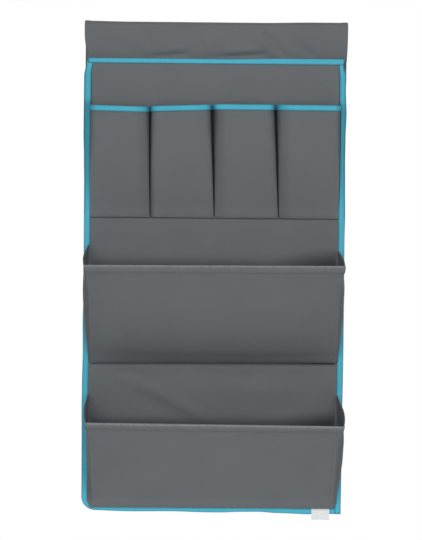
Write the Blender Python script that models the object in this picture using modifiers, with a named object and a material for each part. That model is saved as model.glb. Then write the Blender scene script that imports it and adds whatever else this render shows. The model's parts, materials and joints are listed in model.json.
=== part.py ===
"""Hanging organizer for a tent or caravan, sewn from coated polyester, as separate named pieces.

The organizer hangs from a round rail. The origin is the middle of the rail's axis, +X runs to the
viewer's right, +Z is up, and the pockets face -Y. Metres.
"""

import math

import bmesh
import bpy
from mathutils import Vector

MM = 0.001

# Cloth, tape and strip thicknesses, and the clearance between pieces that are sewn together
FABRIC = 0.8 * MM
PANEL = 1.2 * MM
TAPE = 0.6 * MM
RIM_STRIP = 1.2 * MM
LABEL = 0.4 * MM
LOOP_TAPE = 1.2 * MM
HOOK_TAPE = 1.2 * MM
THREAD = 0.5 * MM
GAP = 0.3 * MM

# Body panel and its edge tape
BODY_WIDTH = 500 * MM
BODY_HEIGHT = 871.5 * MM
BODY_DROP = 56.6 * MM
TAPE_WIDTH = 12 * MM
LEFT_CORNER_INSET = 6 * MM
RIGHT_CORNER_INSET = 2.5 * MM
TOP_CORNER_RUN = 36 * MM
BOTTOM_CORNER_RADIUS = 19 * MM
RIGHT_FOOT_INSET = 2.5 * MM
RIGHT_FOOT_RUN = 250 * MM

# Sleeve that wraps the rail and closes behind the panel
RAIL_RADIUS = 11 * MM
SLEEVE_EASE = 0.6 * MM
SLEEVE_OVERHANG = 0.5 * MM
SLEEVE_SEAM_ALLOWANCE = 5 * MM
LOOP_WIDTH = 25 * MM
LOOP_INSET = 10 * MM
LOOP_DROP = 3 * MM
FLAP_ALLOWANCE = 4 * MM

# Row of four small pockets
SMALL_SEAM_DROP = 306.5 * MM
SMALL_LENGTH = 215 * MM
SMALL_OPEN = math.radians(8)
DIVIDER_SPREAD = 4 * MM
DIVIDER_FOOT = 1.4 * MM
SLIT_HALF_TOPS = (2.7 * MM, 4.1 * MM, 3.3 * MM)
SLIT_DRIFTS = (-1.5 * MM, -4.8 * MM, -8.5 * MM)
SMALL_CROWN = 4 * MM
SMALL_TAPE_WIDTH = 11 * MM

# Two large pockets with gusseted sides
UPPER_SEAM_DROP = 587.4 * MM
UPPER_INSETS = (17 * MM, 15 * MM)
UPPER_LENGTH = 208.9 * MM
UPPER_OPEN = math.radians(26.9)
UPPER_GUSSET_HEIGHT = 228 * MM
UPPER_BULGES = (7 * MM, 10.5 * MM)
UPPER_FEET = (8.5 * MM, 12.5 * MM)
LOWER_INSETS = (23 * MM, 18 * MM)
LOWER_LENGTH = 195.7 * MM
LOWER_OPEN = math.radians(31.7)
LOWER_GUSSET_HEIGHT = 215 * MM
LOWER_BULGES = (3 * MM, 8.6 * MM)
LOWER_FEET = (9 * MM, 10 * MM)
BELLY = 8 * MM
HEM_WIDTH = 10 * MM
RIM_WIDTH = 8 * MM
RIM_INSET = 4 * MM
GUSSET_SEAM_FOOT = 11 * MM

# Side walls start this share of their height above the seam, where their depth is still nothing
WALL_START = 0.04

# Care label on the bottom tape
LABEL_WIDTH = 34 * MM
LABEL_HEIGHT = 20.6 * MM
LABEL_OVERLAP = 9 * MM
LABEL_EDGE_INSET = 41.6 * MM

# A stitch row runs this far inside the edge that it holds
STITCH_INSET = 1.8 * MM

# Soft folds, each a ridge between two points, with its width and its rise. Heights are measured
# down from the rail on the sleeve, and down from the upper large pocket's seam on the panel.
SLEEVE_FOLDS = (
    ((-128 * MM, 55 * MM), (-62 * MM, 46 * MM), 9 * MM, -1.3 * MM),
    ((2 * MM, 54 * MM), (88 * MM, 47 * MM), 9 * MM, -1.5 * MM),
    ((84 * MM, 12 * MM), (131 * MM, 52 * MM), 10 * MM, -1.2 * MM),
    ((157 * MM, 30 * MM), (180 * MM, 47 * MM), 9 * MM, -0.9 * MM),
    ((-24 * MM, 17 * MM), (-12 * MM, 40 * MM), 9 * MM, 0.8 * MM),
)
PANEL_FOLDS = (
    ((-205 * MM, 14 * MM), (-95 * MM, 28 * MM), 14 * MM, -1.6 * MM),
    ((-169 * MM, 23 * MM), (-20 * MM, 100 * MM), 15 * MM, 2.2 * MM),
    ((60 * MM, 20 * MM), (150 * MM, 24 * MM), 16 * MM, -1.2 * MM),
)
PANEL_FOLD_REACH = 125 * MM

# Where things lie. Depth is measured forwards from the panel's middle plane, which holds the rail's
# axis too.
TOP = -BODY_DROP
BOTTOM = TOP - BODY_HEIGHT
PANEL_TOP = TOP - TAPE - GAP
PANEL_BOTTOM = BOTTOM + TAPE + GAP
PANEL_HALF = BODY_WIDTH / 2 - TAPE - GAP
TAPE_LEG = TAPE_WIDTH - TAPE - GAP
TAPE_INNER = BODY_WIDTH / 2 - TAPE_WIDTH
TAPE_FACE = PANEL / 2 + GAP + TAPE
DIVIDER_PITCH = TAPE_INNER / 2 + DIVIDER_SPREAD
SEAM_DEPTH = PANEL / 2 + GAP + FABRIC / 2
THREAD_ON_PANEL = PANEL / 2 + GAP + THREAD / 2
THREAD_ON_TAPE = TAPE_FACE + GAP + THREAD / 2
SMALL_SEAM = TOP - SMALL_SEAM_DROP
UPPER_SEAM = TOP - UPPER_SEAM_DROP
LOWER_SEAM = BOTTOM + TAPE_WIDTH + GAP + FABRIC / 2
SLEEVE_RADIUS = RAIL_RADIUS + SLEEVE_EASE + FABRIC / 2
SLEEVE_FOOT_DEPTH = -(TAPE_FACE + GAP + FABRIC / 2)
LOOP_TOP = TOP - TAPE_WIDTH - LOOP_DROP
LOOP_FACE = -(PANEL / 2 + GAP + LOOP_TAPE)
HOOK_FACE = LOOP_FACE - GAP - HOOK_TAPE
FLAP_DEPTH = HOOK_FACE - GAP - FABRIC / 2

collection = bpy.data.collections.new("hanging_organizer")


def clear_scene():
    for obj in list(bpy.data.objects):
        bpy.data.objects.remove(obj, do_unlink=True)
    bpy.context.scene.collection.children.link(collection)


def finish(name, colour, roughness):
    """A Principled material of one colour."""
    material = bpy.data.materials.new(name)
    material.use_nodes = True
    shader = material.node_tree.nodes["Principled BSDF"]
    shader.inputs["Base Color"].default_value = (*colour, 1.0)
    shader.inputs["Roughness"].default_value = roughness
    shader.inputs["Metallic"].default_value = 0.0
    material.diffuse_color = (*colour, 1.0)
    return material


def add(name, data, material, parent=None):
    """A new object in the organizer's collection, with its own copy of the material."""
    obj = bpy.data.objects.new(name, data)
    collection.objects.link(obj)
    own = material.copy()
    own.name = name + "_" + material.name
    data.materials.append(own)
    obj.parent = parent
    return obj


def hinge(name, place, angle=0.0):
    """An empty on a joint's axis, which carries the pieces that turn about it."""
    empty = bpy.data.objects.new(name, None)
    collection.objects.link(empty)
    empty.location = place
    empty.rotation_euler.x = angle
    return empty


def mix(a, b, t):
    return a + (b - a) * t


def ease(value, low, high):
    """0 below low, 1 above high, and a smooth step between them."""
    t = min(max((value - low) / (high - low), 0.0), 1.0)
    return t * t * (3 - 2 * t)


def folds(x, drop, lines):
    """How far the soft folds lift the cloth at x, at a drop below the folds' own zero."""
    lift = 0.0
    spot = Vector((x, drop))
    for start, end, width, rise in lines:
        start, end = Vector(start), Vector(end)
        run = end - start
        share = min(max((spot - start).dot(run) / run.length_squared, 0.0), 1.0)
        away = (spot - start - run * share).length
        lift += rise * math.exp(-((away / width) ** 2))
    return lift


def cloth(name, place, columns, rows, thickness, material, parent=None):
    """A sheet given its thickness. place(u, v) is its middle surface, for u and v from 0 to 1."""
    mesh = bpy.data.meshes.new(name)
    shape = bmesh.new()
    bmesh.ops.create_grid(shape, x_segments=columns, y_segments=rows, size=0.5)
    for vert in shape.verts:
        vert.co = place(vert.co.x + 0.5, vert.co.y + 0.5)
    shape.to_mesh(mesh)
    shape.free()
    obj = add(name, mesh, material, parent)
    solid = obj.modifiers.new("Thickness", "SOLIDIFY")
    solid.thickness = thickness
    solid.offset = 0.0
    solid.use_even_offset = True
    solid.use_quality_normals = True
    return obj


def block(name, low, high, material, parent=None):
    """A flat strip between two corners."""
    mesh = bpy.data.meshes.new(name)
    shape = bmesh.new()
    bmesh.ops.create_cube(shape, size=1.0)
    low, high = Vector(low), Vector(high)
    bmesh.ops.scale(shape, vec=high - low, verts=shape.verts)
    bmesh.ops.translate(shape, vec=(low + high) / 2, verts=shape.verts)
    shape.to_mesh(mesh)
    shape.free()
    return add(name, mesh, material, parent)


def thread(name, points, material, parent=None):
    """A row of stitching, as one thin round thread through the points."""
    curve = bpy.data.curves.new(name, "CURVE")
    curve.dimensions = "3D"
    curve.bevel_depth = THREAD / 2
    curve.bevel_resolution = 1
    curve.use_fill_caps = True
    spline = curve.splines.new("POLY")
    spline.points.add(len(points) - 1)
    for spot, point in zip(spline.points, points):
        spot.co = (*point, 1.0)
    return add(name, curve, material, parent)


def fold_over(front, rear, thickness, leg):
    """The middle line of cloth folded over an edge, as (outwards, depth), from front leg to rear.

    front and rear are how far the edge that it folds over reaches each way from its middle plane.
    """
    turn = GAP + thickness / 2
    ahead = front + turn
    behind = -(rear + turn)
    chamfer = turn * (2 - math.sqrt(2))
    return [
        (-leg, ahead),
        (turn - chamfer, ahead),
        (turn, ahead - chamfer),
        (turn, behind + chamfer),
        (turn - chamfer, behind),
        (-leg, behind),
    ]


def corner_inset(z, inset):
    """How far a side edge is drawn in at height z, near the top corner."""
    return inset * min(max(0.0, 1 - (PANEL_TOP - z) / TOP_CORNER_RUN), 1.0) ** 2


def right_x(z):
    """The panel's right edge at height z, drawn in a little at the top and over its foot."""
    foot = max(0.0, 1 - (z - BOTTOM) / RIGHT_FOOT_RUN)
    return PANEL_HALF - corner_inset(z, RIGHT_CORNER_INSET) - RIGHT_FOOT_INSET * foot


def left_x(z):
    """The panel's left edge at height z, with its rounded bottom corner."""
    short = max(0.0, PANEL_BOTTOM + BOTTOM_CORNER_RADIUS - z)
    across = math.sqrt(max(0.0, BOTTOM_CORNER_RADIUS**2 - short**2))
    return -PANEL_HALF + corner_inset(z, LEFT_CORNER_INSET) + BOTTOM_CORNER_RADIUS - across


def corner_heights(steps):
    """Heights round the bottom left corner, from its top down to the bottom edge."""
    turns = [i / steps * math.pi / 2 for i in range(steps + 1)]
    return [PANEL_BOTTOM + BOTTOM_CORNER_RADIUS * (1 - math.sin(a)) for a in turns]


def spread(start, end, steps):
    """Evenly spaced values from start up to, but without, end."""
    return [mix(start, end, i / steps) for i in range(steps)]


def panel_lift(x, z):
    """The panel's soft folds, held flat by the seams and the edge tape round them."""
    drop = UPPER_SEAM - z
    if drop < 0 or drop > PANEL_FOLD_REACH:
        return 0.0
    beside = ease(TAPE_INNER - abs(x), 0.0, 45 * MM)
    above = ease(drop, 2 * MM, 14 * MM)
    below = 1 - ease(drop, PANEL_FOLD_REACH - 25 * MM, PANEL_FOLD_REACH)
    return folds(x, drop, PANEL_FOLDS) * beside * above * below


def back_panel(fabric):
    """The body panel, one sheet with one rounded bottom corner."""
    fold_end = UPPER_SEAM - PANEL_FOLD_REACH
    heights = spread(PANEL_TOP, PANEL_TOP - TOP_CORNER_RUN, 3)
    heights += [PANEL_TOP - TOP_CORNER_RUN]
    heights += spread(UPPER_SEAM, fold_end, 11)
    heights += [fold_end] + corner_heights(6)

    def place(u, v):
        z = heights[round(v * (len(heights) - 1))]
        x = mix(left_x(z), right_x(z), u)
        return Vector((x, -panel_lift(x, z), z))

    cloth("back_panel", place, 26, len(heights) - 1, PANEL, fabric)


def outward(path):
    """The outward direction at each point of a path that goes clockwise round the panel."""
    normals = []
    for index in range(len(path)):
        before = Vector(path[max(index - 1, 0)])
        after = Vector(path[min(index + 1, len(path) - 1)])
        along = (after - before).normalized()
        normals.append(Vector((-along.y, along.x)))
    return normals


def edge_tape(name, path, tape, thread_finish):
    """Tape folded over the panel's edge along a path of (x, z) points, and its row of stitching."""
    section = fold_over(PANEL / 2, PANEL / 2, TAPE, TAPE_LEG)
    normals = outward(path)

    def place(u, v):
        index = round(u * (len(path) - 1))
        across, depth = section[round(v * (len(section) - 1))]
        spot = Vector(path[index]) + normals[index] * across
        return Vector((spot.x, -depth, spot.y))

    cloth(name, place, len(path) - 1, len(section) - 1, TAPE, tape)
    row = []
    for point, normal in zip(path, normals):
        spot = Vector(point) - normal * (TAPE_LEG - STITCH_INSET)
        row.append((spot.x, -THREAD_ON_TAPE, spot.y))
    thread(name + "_stitching", row, thread_finish)


def edge_tapes(tape, thread_finish):
    """The tapes along the top, the right side, and the bottom and left side in one length."""
    beside = TAPE_LEG + GAP
    bend = PANEL_TOP - TOP_CORNER_RUN
    top = [(left_x(PANEL_TOP) + beside, PANEL_TOP), (right_x(PANEL_TOP) - beside, PANEL_TOP)]
    foot = BOTTOM + RIGHT_FOOT_RUN
    right = [(right_x(z), z) for z in spread(TOP, bend, 4) + [bend, foot, BOTTOM]]
    bottom_end = right_x(BOTTOM) - beside
    left_heights = spread(TOP, bend, 4) + [bend] + corner_heights(8)
    left = [(left_x(z), z) for z in left_heights]
    bottom_and_left = [(bottom_end, PANEL_BOTTOM)] + list(reversed(left))
    edge_tape("top_binding", top, tape, thread_finish)
    edge_tape("right_binding", right, tape, thread_finish)
    edge_tape("left_and_bottom_binding", bottom_and_left, tape, thread_finish)


def tangent_angle(depth, z, side):
    """The angle on the sleeve's arc where a straight run from (depth, z) meets it."""
    return math.atan2(z, depth) + side * math.acos(SLEEVE_RADIUS / math.hypot(depth, z))


def arc_points(start, end, steps):
    """Points (depth, z) round the rail."""
    turns = [mix(start, end, i / steps) for i in range(steps + 1)]
    return [(SLEEVE_RADIUS * math.cos(a), SLEEVE_RADIUS * math.sin(a)) for a in turns]


def sleeve(fabric, hook):
    """The sleeve's fixed front, its flap that opens behind the rail, and the closing tapes."""
    half = BODY_WIDTH / 2 + SLEEVE_OVERHANG
    split = GAP / 2 / SLEEVE_RADIUS
    bend = TOP + GAP
    foot = [(SLEEVE_FOOT_DEPTH, TOP - SLEEVE_SEAM_ALLOWANCE), (SLEEVE_FOOT_DEPTH, bend)]
    front_turn = tangent_angle(SLEEVE_FOOT_DEPTH, bend, 1)
    front_arc = arc_points(front_turn, math.pi / 2 - split, 7)
    rise = [Vector(foot[1]).lerp(Vector(front_arc[0]), i / 6) for i in range(1, 6)]
    front = foot + [tuple(spot) for spot in rise] + front_arc
    lean = Vector((math.cos(front_turn), math.sin(front_turn)))

    def front_place(u, v):
        depth, z = front[round(v * (len(front) - 1))]
        x = mix(-half, half, u)
        room = ease(z, bend, bend + 7 * MM) * (1 - ease(z, -14 * MM, 0.0))
        lift = folds(x, -z, SLEEVE_FOLDS) * room
        return Vector((x, -(depth + lift * lean.x), z + lift * lean.y))

    cloth("sleeve_front", front_place, 38, len(front) - 1, FABRIC, fabric)

    edge = LOOP_TOP - LOOP_WIDTH
    flap_turn = tangent_angle(FLAP_DEPTH, LOOP_TOP, -1) + 2 * math.pi
    flap = arc_points(math.pi / 2 + split, flap_turn, 7)
    flap += [(FLAP_DEPTH, LOOP_TOP), (FLAP_DEPTH, edge - FLAP_ALLOWANCE)]
    crest = SLEEVE_RADIUS + FABRIC / 2
    turn = hinge("sleeve_flap_hinge", (0, 0, crest))

    def flap_place(u, v):
        depth, z = flap[round(v * (len(flap) - 1))]
        return Vector((mix(-half, half, u), -depth, z - crest))

    cloth("sleeve_flap", flap_place, 1, len(flap) - 1, FABRIC, fabric, turn)
    reach = TAPE_INNER - LOOP_INSET
    block("loop_tape", (-reach, PANEL / 2 + GAP, edge), (reach, -LOOP_FACE, LOOP_TOP), hook)
    low = (-reach, -LOOP_FACE + GAP, edge - crest)
    high = (reach, -HOOK_FACE, LOOP_TOP - crest)
    block("hook_tape", low, high, hook, turn)


def side_wall(name, seam, height, length, angle, foot, edge, bulge, fabric):
    """A side wall between the panel and a pocket front's side edge.

    foot(v) is (x, depth) on the panel and edge(v) is x at the front, for v from seam to mouth.
    """
    outside = math.copysign(1.0, foot(1.0)[0] - edge(1.0))

    def place(u, v):
        v = mix(WALL_START, 1.0, v)
        foot_x, foot_depth = foot(v)
        back = Vector((foot_x, -foot_depth, seam + v * height))
        depth = SEAM_DEPTH + v * length * math.sin(angle)
        front = Vector((edge(v), -depth, seam + v * length * math.cos(angle)))
        spot = back.lerp(front, u)
        spot.x += outside * bulge * math.sin(math.pi * u) * math.sin(math.pi / 2 * v)
        return spot

    columns = 6 if bulge else 1
    cloth(name, place, columns, 7 if bulge else 4, FABRIC, fabric)


def pocket_front(name, left, right, length, hem, crown, columns, fabric, parent):
    """A pocket's front in its hinge's frame. left(v) and right(v) are its side edges."""
    flat = 1 - hem / length
    shares = spread(0.0, flat, 8) + [flat, 1.0]

    def place(u, v):
        v = shares[round(v * (len(shares) - 1))]
        x = mix(left(v), right(v), u)
        across = 1 - (2 * u - 1) ** 2
        out = crown * across * math.sin(math.pi * min(v / flat, 1.0))
        return Vector((x, -out, v * length))

    cloth(name, place, columns, len(shares) - 1, FABRIC, fabric, parent)


def pocket_rim(name, row_name, left, right, length, section, row, material, thread_finish, parent):
    """Tape or hem folded over a pocket's top edge, and its row of stitching."""

    def place(u, v):
        up, out = section[round(v * (len(section) - 1))]
        return Vector((mix(left, right, u), -out, length + up))

    thickness = TAPE if "tape" in name else FABRIC
    cloth(name, place, 1, len(section) - 1, thickness, material, parent)
    drop, out = row
    thread(row_name, [(left, -out, length - drop), (right, -out, length - drop)], thread_finish, parent)


def small_pockets(fabric, tape, thread_finish):
    """Four small pockets side by side, with narrow slits between them."""
    wall_gap = FABRIC / 2 + GAP
    outer = TAPE_INNER - GAP - FABRIC / 2
    seams = [(i - 1) * DIVIDER_PITCH for i in range(3)]
    tops = [x + drift for x, drift in zip(seams, SLIT_DRIFTS)]
    leg = SMALL_TAPE_WIDTH - TAPE - GAP
    section = fold_over(FABRIC / 2, FABRIC / 2, TAPE, leg)
    row = (leg - STITCH_INSET, FABRIC / 2 + GAP + TAPE + GAP + THREAD / 2)
    for index in range(4):
        name = f"pocket_{index + 1}"
        left_foot = -outer if index == 0 else seams[index - 1] + DIVIDER_FOOT
        left_top = -outer if index == 0 else tops[index - 1] + SLIT_HALF_TOPS[index - 1]
        right_foot = outer if index == 3 else seams[index] - DIVIDER_FOOT
        right_top = outer if index == 3 else tops[index] - SLIT_HALF_TOPS[index]
        turn = hinge(name + "_hinge", (0, -SEAM_DEPTH, SMALL_SEAM), SMALL_OPEN)
        pocket_front(
            name + "_front",
            lambda v, a=left_foot, b=left_top: mix(a, b, v) + wall_gap,
            lambda v, a=right_foot, b=right_top: mix(a, b, v) - wall_gap,
            SMALL_LENGTH,
            SMALL_TAPE_WIDTH,
            SMALL_CROWN,
            8,
            fabric,
            turn,
        )
        ends = (left_top + wall_gap + GAP, right_top - wall_gap - GAP)
        row_name = name + "_tape_stitching"
        pocket_rim(name + "_tape", row_name, *ends, SMALL_LENGTH, section, row, tape, thread_finish, turn)
        for side, foot, top in (("left", left_foot, left_top), ("right", right_foot, right_top)):
            side_wall(
                f"{name}_{side}_wall",
                SMALL_SEAM,
                SMALL_LENGTH * math.cos(SMALL_OPEN),
                SMALL_LENGTH,
                SMALL_OPEN,
                lambda v, x=foot: (x, PANEL / 2 + GAP),
                lambda v, a=foot, b=top: mix(a, b, v),
                0.0,
                fabric,
            )
    for index, x in enumerate(seams):
        high = SMALL_SEAM + SMALL_LENGTH * math.cos(SMALL_OPEN)
        ends = [(x, -THREAD_ON_PANEL, SMALL_SEAM), (x, -THREAD_ON_PANEL, high)]
        thread(f"divider_stitching_{index + 1}", ends, thread_finish)
    seam_row("small_pockets_bottom_stitching", SMALL_SEAM, thread_finish)


def seam_row(name, seam, thread_finish):
    """The row of stitching just under a pocket's bottom seam, from tape to tape."""
    reach = TAPE_INNER - GAP
    z = seam - FABRIC / 2 - GAP - THREAD / 2
    thread(name, [(-reach, -THREAD_ON_PANEL, z), (reach, -THREAD_ON_PANEL, z)], thread_finish)


def large_pocket(name, seam, insets, length, angle, height, bulges, feet, fabric, strip, thread_finish):
    """A large pocket: front, folded hem with a stiff strip in it, and two gussets."""
    edge = BODY_WIDTH / 2
    left, right = insets[0] - edge, edge - insets[1]
    turn = hinge(name + "_hinge", (0, -SEAM_DEPTH, seam), angle)
    pocket_front(
        name + "_front", lambda v: left, lambda v: right, length, HEM_WIDTH, BELLY, 16, fabric, turn
    )
    leg = HEM_WIDTH - FABRIC - GAP
    strip_back = FABRIC / 2 + GAP + RIM_STRIP
    section = fold_over(FABRIC / 2, strip_back, FABRIC, leg)
    row = (leg - STITCH_INSET, FABRIC / 2 + GAP + FABRIC + GAP + THREAD / 2)
    row_name = name + "_hem_stitching"
    pocket_rim(name + "_hem", row_name, left, right, length, section, row, fabric, thread_finish, turn)
    low = (left + RIM_INSET, FABRIC / 2 + GAP, length - RIM_WIDTH)
    high = (right - RIM_INSET, strip_back, length)
    block(name + "_rim_strip", low, high, strip, turn)
    wall_gap = GAP + FABRIC / 2
    foot_depth = THREAD_ON_TAPE + THREAD / 2 + GAP
    for side, sign, x, bulge, foot in (
        ("left", -1, left - wall_gap, bulges[0], feet[0]),
        ("right", 1, right + wall_gap, bulges[1], feet[1]),
    ):
        side_wall(
            f"{name}_{side}_gusset",
            seam,
            height,
            length,
            angle,
            lambda v, s=sign, inset=foot: (s * (edge - mix(GUSSET_SEAM_FOOT, inset, v)), foot_depth),
            lambda v, x=x: x,
            bulge,
            fabric,
        )


def care_label(label):
    """The care label, sewn over the bottom tape by its top edge."""
    depth = TAPE_FACE + GAP + LABEL / 2
    middle = BODY_WIDTH / 2 - LABEL_EDGE_INSET
    turn = hinge("care_label_hinge", (middle, -depth, BOTTOM + LABEL_OVERLAP))
    low = (-LABEL_WIDTH / 2, -LABEL / 2, -LABEL_HEIGHT)
    block("care_label", low, (LABEL_WIDTH / 2, LABEL / 2, 0), label, turn)


def build():
    clear_scene()
    fabric = finish("grey_polyester", (0.133, 0.139, 0.145), 0.75)
    tape = finish("blue_tape", (0.075, 0.402, 0.578), 0.7)
    thread_grey = finish("grey_thread", (0.11, 0.115, 0.12), 0.65)
    thread_blue = finish("blue_thread", (0.06, 0.35, 0.52), 0.65)
    hook = finish("black_nylon", (0.02, 0.02, 0.022), 0.85)
    strip = finish("clear_strip", (0.55, 0.57, 0.58), 0.4)
    label = finish("white_label", (0.83, 0.84, 0.85), 0.6)
    back_panel(fabric)
    edge_tapes(tape, thread_blue)
    sleeve(fabric, hook)
    small_pockets(fabric, tape, thread_blue)
    upper = (UPPER_SEAM, UPPER_INSETS, UPPER_LENGTH, UPPER_OPEN)
    upper += (UPPER_GUSSET_HEIGHT, UPPER_BULGES, UPPER_FEET)
    lower = (LOWER_SEAM, LOWER_INSETS, LOWER_LENGTH, LOWER_OPEN)
    lower += (LOWER_GUSSET_HEIGHT, LOWER_BULGES, LOWER_FEET)
    large_pocket("upper_pocket", *upper, fabric, strip, thread_grey)
    large_pocket("lower_pocket", *lower, fabric, strip, thread_grey)
    seam_row("upper_pocket_bottom_stitching", UPPER_SEAM, thread_grey)
    care_label(label)
    bpy.context.view_layer.update()


build()
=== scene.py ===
"""Hanging organizer: cloth, tape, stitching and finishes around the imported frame.

The origin is the middle of the axis that the sleeve runs round, +X is to the viewer's right, +Z is up
and the pockets face -Y. "Depth" is how far forward of the panel's middle plane a thing lies, so it is
-Y. Metres.
"""

import json
import math

import bmesh
import bpy
from mathutils import Matrix, Vector, noise


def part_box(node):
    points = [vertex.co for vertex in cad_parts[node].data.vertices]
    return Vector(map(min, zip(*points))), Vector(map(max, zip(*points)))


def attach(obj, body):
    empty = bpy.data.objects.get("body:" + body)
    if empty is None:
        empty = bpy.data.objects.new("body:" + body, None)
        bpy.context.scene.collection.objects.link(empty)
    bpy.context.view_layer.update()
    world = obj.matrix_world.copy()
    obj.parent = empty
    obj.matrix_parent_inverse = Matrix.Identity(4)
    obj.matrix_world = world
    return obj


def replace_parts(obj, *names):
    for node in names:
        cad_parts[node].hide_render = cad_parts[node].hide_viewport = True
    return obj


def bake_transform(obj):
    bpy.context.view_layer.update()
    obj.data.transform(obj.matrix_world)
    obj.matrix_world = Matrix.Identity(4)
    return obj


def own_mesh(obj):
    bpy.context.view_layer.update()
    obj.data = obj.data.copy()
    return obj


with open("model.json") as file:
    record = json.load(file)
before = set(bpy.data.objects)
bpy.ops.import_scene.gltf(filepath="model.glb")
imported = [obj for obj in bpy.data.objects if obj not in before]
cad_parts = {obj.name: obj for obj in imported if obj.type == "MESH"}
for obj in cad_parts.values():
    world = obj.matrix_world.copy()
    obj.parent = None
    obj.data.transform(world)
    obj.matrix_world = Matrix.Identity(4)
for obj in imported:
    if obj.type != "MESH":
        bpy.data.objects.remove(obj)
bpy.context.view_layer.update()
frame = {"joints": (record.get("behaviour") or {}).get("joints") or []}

MM = 0.001

# Thicknesses, how far the label curls and cups, and the gaps between things that are sewn together
FABRIC = 0.8 * MM
PANEL = 1.2 * MM
TAPE = 0.6 * MM
STRIP = 1.2 * MM
LABEL = 0.4 * MM
LABEL_CURL = 2.2 * MM
LABEL_CUP = 1.6 * MM
CLEAR = 0.3 * MM
SNUG = 0.1 * MM

# Panel and edge tape
TAPE_WIDTH = 12 * MM
# How wide the tapes' darkened rims are: painted shade along their edges and fold
TAPE_RIM_SHADE_WIDTH = 3 * MM
LEFT_CORNER_INSET = 6 * MM
RIGHT_CORNER_INSET = 2.5 * MM
TOP_CORNER_RUN = 36 * MM
BOTTOM_CORNER_RADIUS = 27 * MM
RIGHT_FOOT_INSET = 2.5 * MM
RIGHT_FOOT_RUN = 250 * MM

# Sleeve
SLEEVE_RADIUS = 12 * MM
SLEEVE_SEAM_ALLOWANCE = 5 * MM
SLEEVE_INSETS = (1.2 * MM, -0.6 * MM)
SLEEVE_FOOT_INSETS = (3.6 * MM, 0.3 * MM)
SLEEVE_CREST_HALF = math.radians(26)
SIDE_HEM = 8 * MM
SIDE_HEM_UNDER = -0.4 * MM
SIDE_HEM_OVER = 0.6 * MM

# Small pockets. What is listed for each side of each pocket or slit runs from left to right, and
# MOUTH_RISES are in millimetres.
SMALL_LENGTH = 215 * MM
SMALL_OPEN = math.radians(8)
SMALL_BELLY = 4 * MM
SMALL_TAPE_WIDTH = 11 * MM
OUTER_EDGE_DEPTH = 12 * MM
SLIT_EDGE_DEPTH = 10 * MM
SLIT_CORNERS = ((0.0, 9 * MM), (5 * MM, 6.5 * MM), (9 * MM, 8 * MM), (8 * MM, 0.0))
SMALL_SIDES = (
    (14 * MM, 48 * MM),
    (16 * MM, 22 * MM),
    (44 * MM, 26 * MM),
    (48 * MM, 10 * MM),
)
SIDE_AT_FOOT = 0.4
DIVIDER_SPREAD = 4 * MM
DIVIDER_FOOT = 1.4 * MM
SLIT_HALF_TOPS = (3.1 * MM, 4.4 * MM, 3.7 * MM)
SLIT_DRIFTS = (-1.3 * MM, -5.9 * MM, -8.4 * MM)
SLIT_CLOSED = 0.55 * MM
SLIT_TURN = 0.12
WALL_TAPE_START = 0.12
OUTER_INSETS = (0.9 * MM, 1.0 * MM)
OUTER_TOP_INSETS = (0.3 * MM, -0.6 * MM)
MOUTH_RISES = ((-3.2, -5.6), (-4.2, -0.6), (0.3, 0.4), (0.4, 0.0))

# Painted shade, which darkens the slits' walls and tapes, the cloth beside them, and the side tapes that
# the small pockets pull forward. The amounts for the cloth beside the slits are each pocket's left and
# right side, at its foot and mouth.
SLIT_PAINTED_SHADE = 1.0
SLIT_TAPE_PAINTED_SHADE = 0.5
EDGE_PAINTED_SHADES = (
    (None, (0.15, 0.3)),
    ((0.7, 0.0), (0.15, 0.0)),
    ((0.15, 0.55), (0.15, 0.2)),
    ((0.3, 0.36), None),
)
PAINTED_SHADE_REACH = 0.5
PAINTED_SHADE_DEPTH = 0.8
PULLED_TAPE_PAINTED_SHADE = (0.34, 0.14)

# Painted shade on the panel inside the large pockets, upper and lower: the height at which it ends, over
# what height it fades, and how much it is. Towards the right corners it ends higher and is more.
POCKET_SHADE_TOPS = (-436 * MM, -741 * MM)
POCKET_SHADE_FADES = (22 * MM, 20 * MM)
POCKET_SHADE_AMOUNTS = (0.46, 0.6)
CORNER_POCKET_SHADES = (0.38, 0.3)
CORNER_POCKET_SHADE_RISES = (24 * MM, 16 * MM)
CORNER_POCKET_SHADE_SPAN = (110 * MM, 215 * MM)

# Large pockets
HEM_WIDTH = 10 * MM
# How wide the painted highlight along a large pocket's hem is
HEM_HIGHLIGHT_WIDTH = 5 * MM
RIM_WIDTH = 8 * MM
LARGE_CORNER = 1.4 * MM
RIDGE_INSET = 3.2 * MM
RIDGE_RISE = 0.7 * MM
RIDGE_WIDTH = 1.3 * MM
FLARE_START = 0.72
FOOT_FLARE_RUN = 0.1
GUSSET_HEM = 8 * MM
GUSSET_SEAM_FOOT = 11 * MM
LIP_RUN = 9 * MM

# The rolled cloth along the small pockets' bottom seam, and how far up a roll fades into the front
SMALL_ROLL = 1.3 * MM
ROLL_FADE = 24 * MM

# Stitching
STITCH_PITCH = 3.2 * MM
STITCH_LENGTH = 2.6 * MM
THREAD_RADIUS = 0.27 * MM
STITCH_INSET = 1.8 * MM
STITCHES_BELOW = 1 * MM

# How far a side edge strays outwards, at heights below the sleeve's axis
LEFT_DRIFT = (
    (-56, 0.0), (-72, -0.4), (-95, 1.7), (-200, 1.9), (-250, 0.7), (-300, -0.1), (-420, -0.4),
    (-505, -1.0), (-560, 0.3), (-620, -0.3), (-690, 0.8), (-720, 1.0), (-800, 0.3), (-880, 0.0),
)
RIGHT_DRIFT = (
    (-56, -0.6), (-70, -3.2), (-92, 0.8), (-118, 0.2), (-162, 1.75), (-208, 0.3), (-250, -0.1),
    (-300, 0.3), (-360, 1.0), (-400, 0.2), (-520, 0.2), (-600, 0.1), (-710, -0.5), (-880, 0.1),
)

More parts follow.
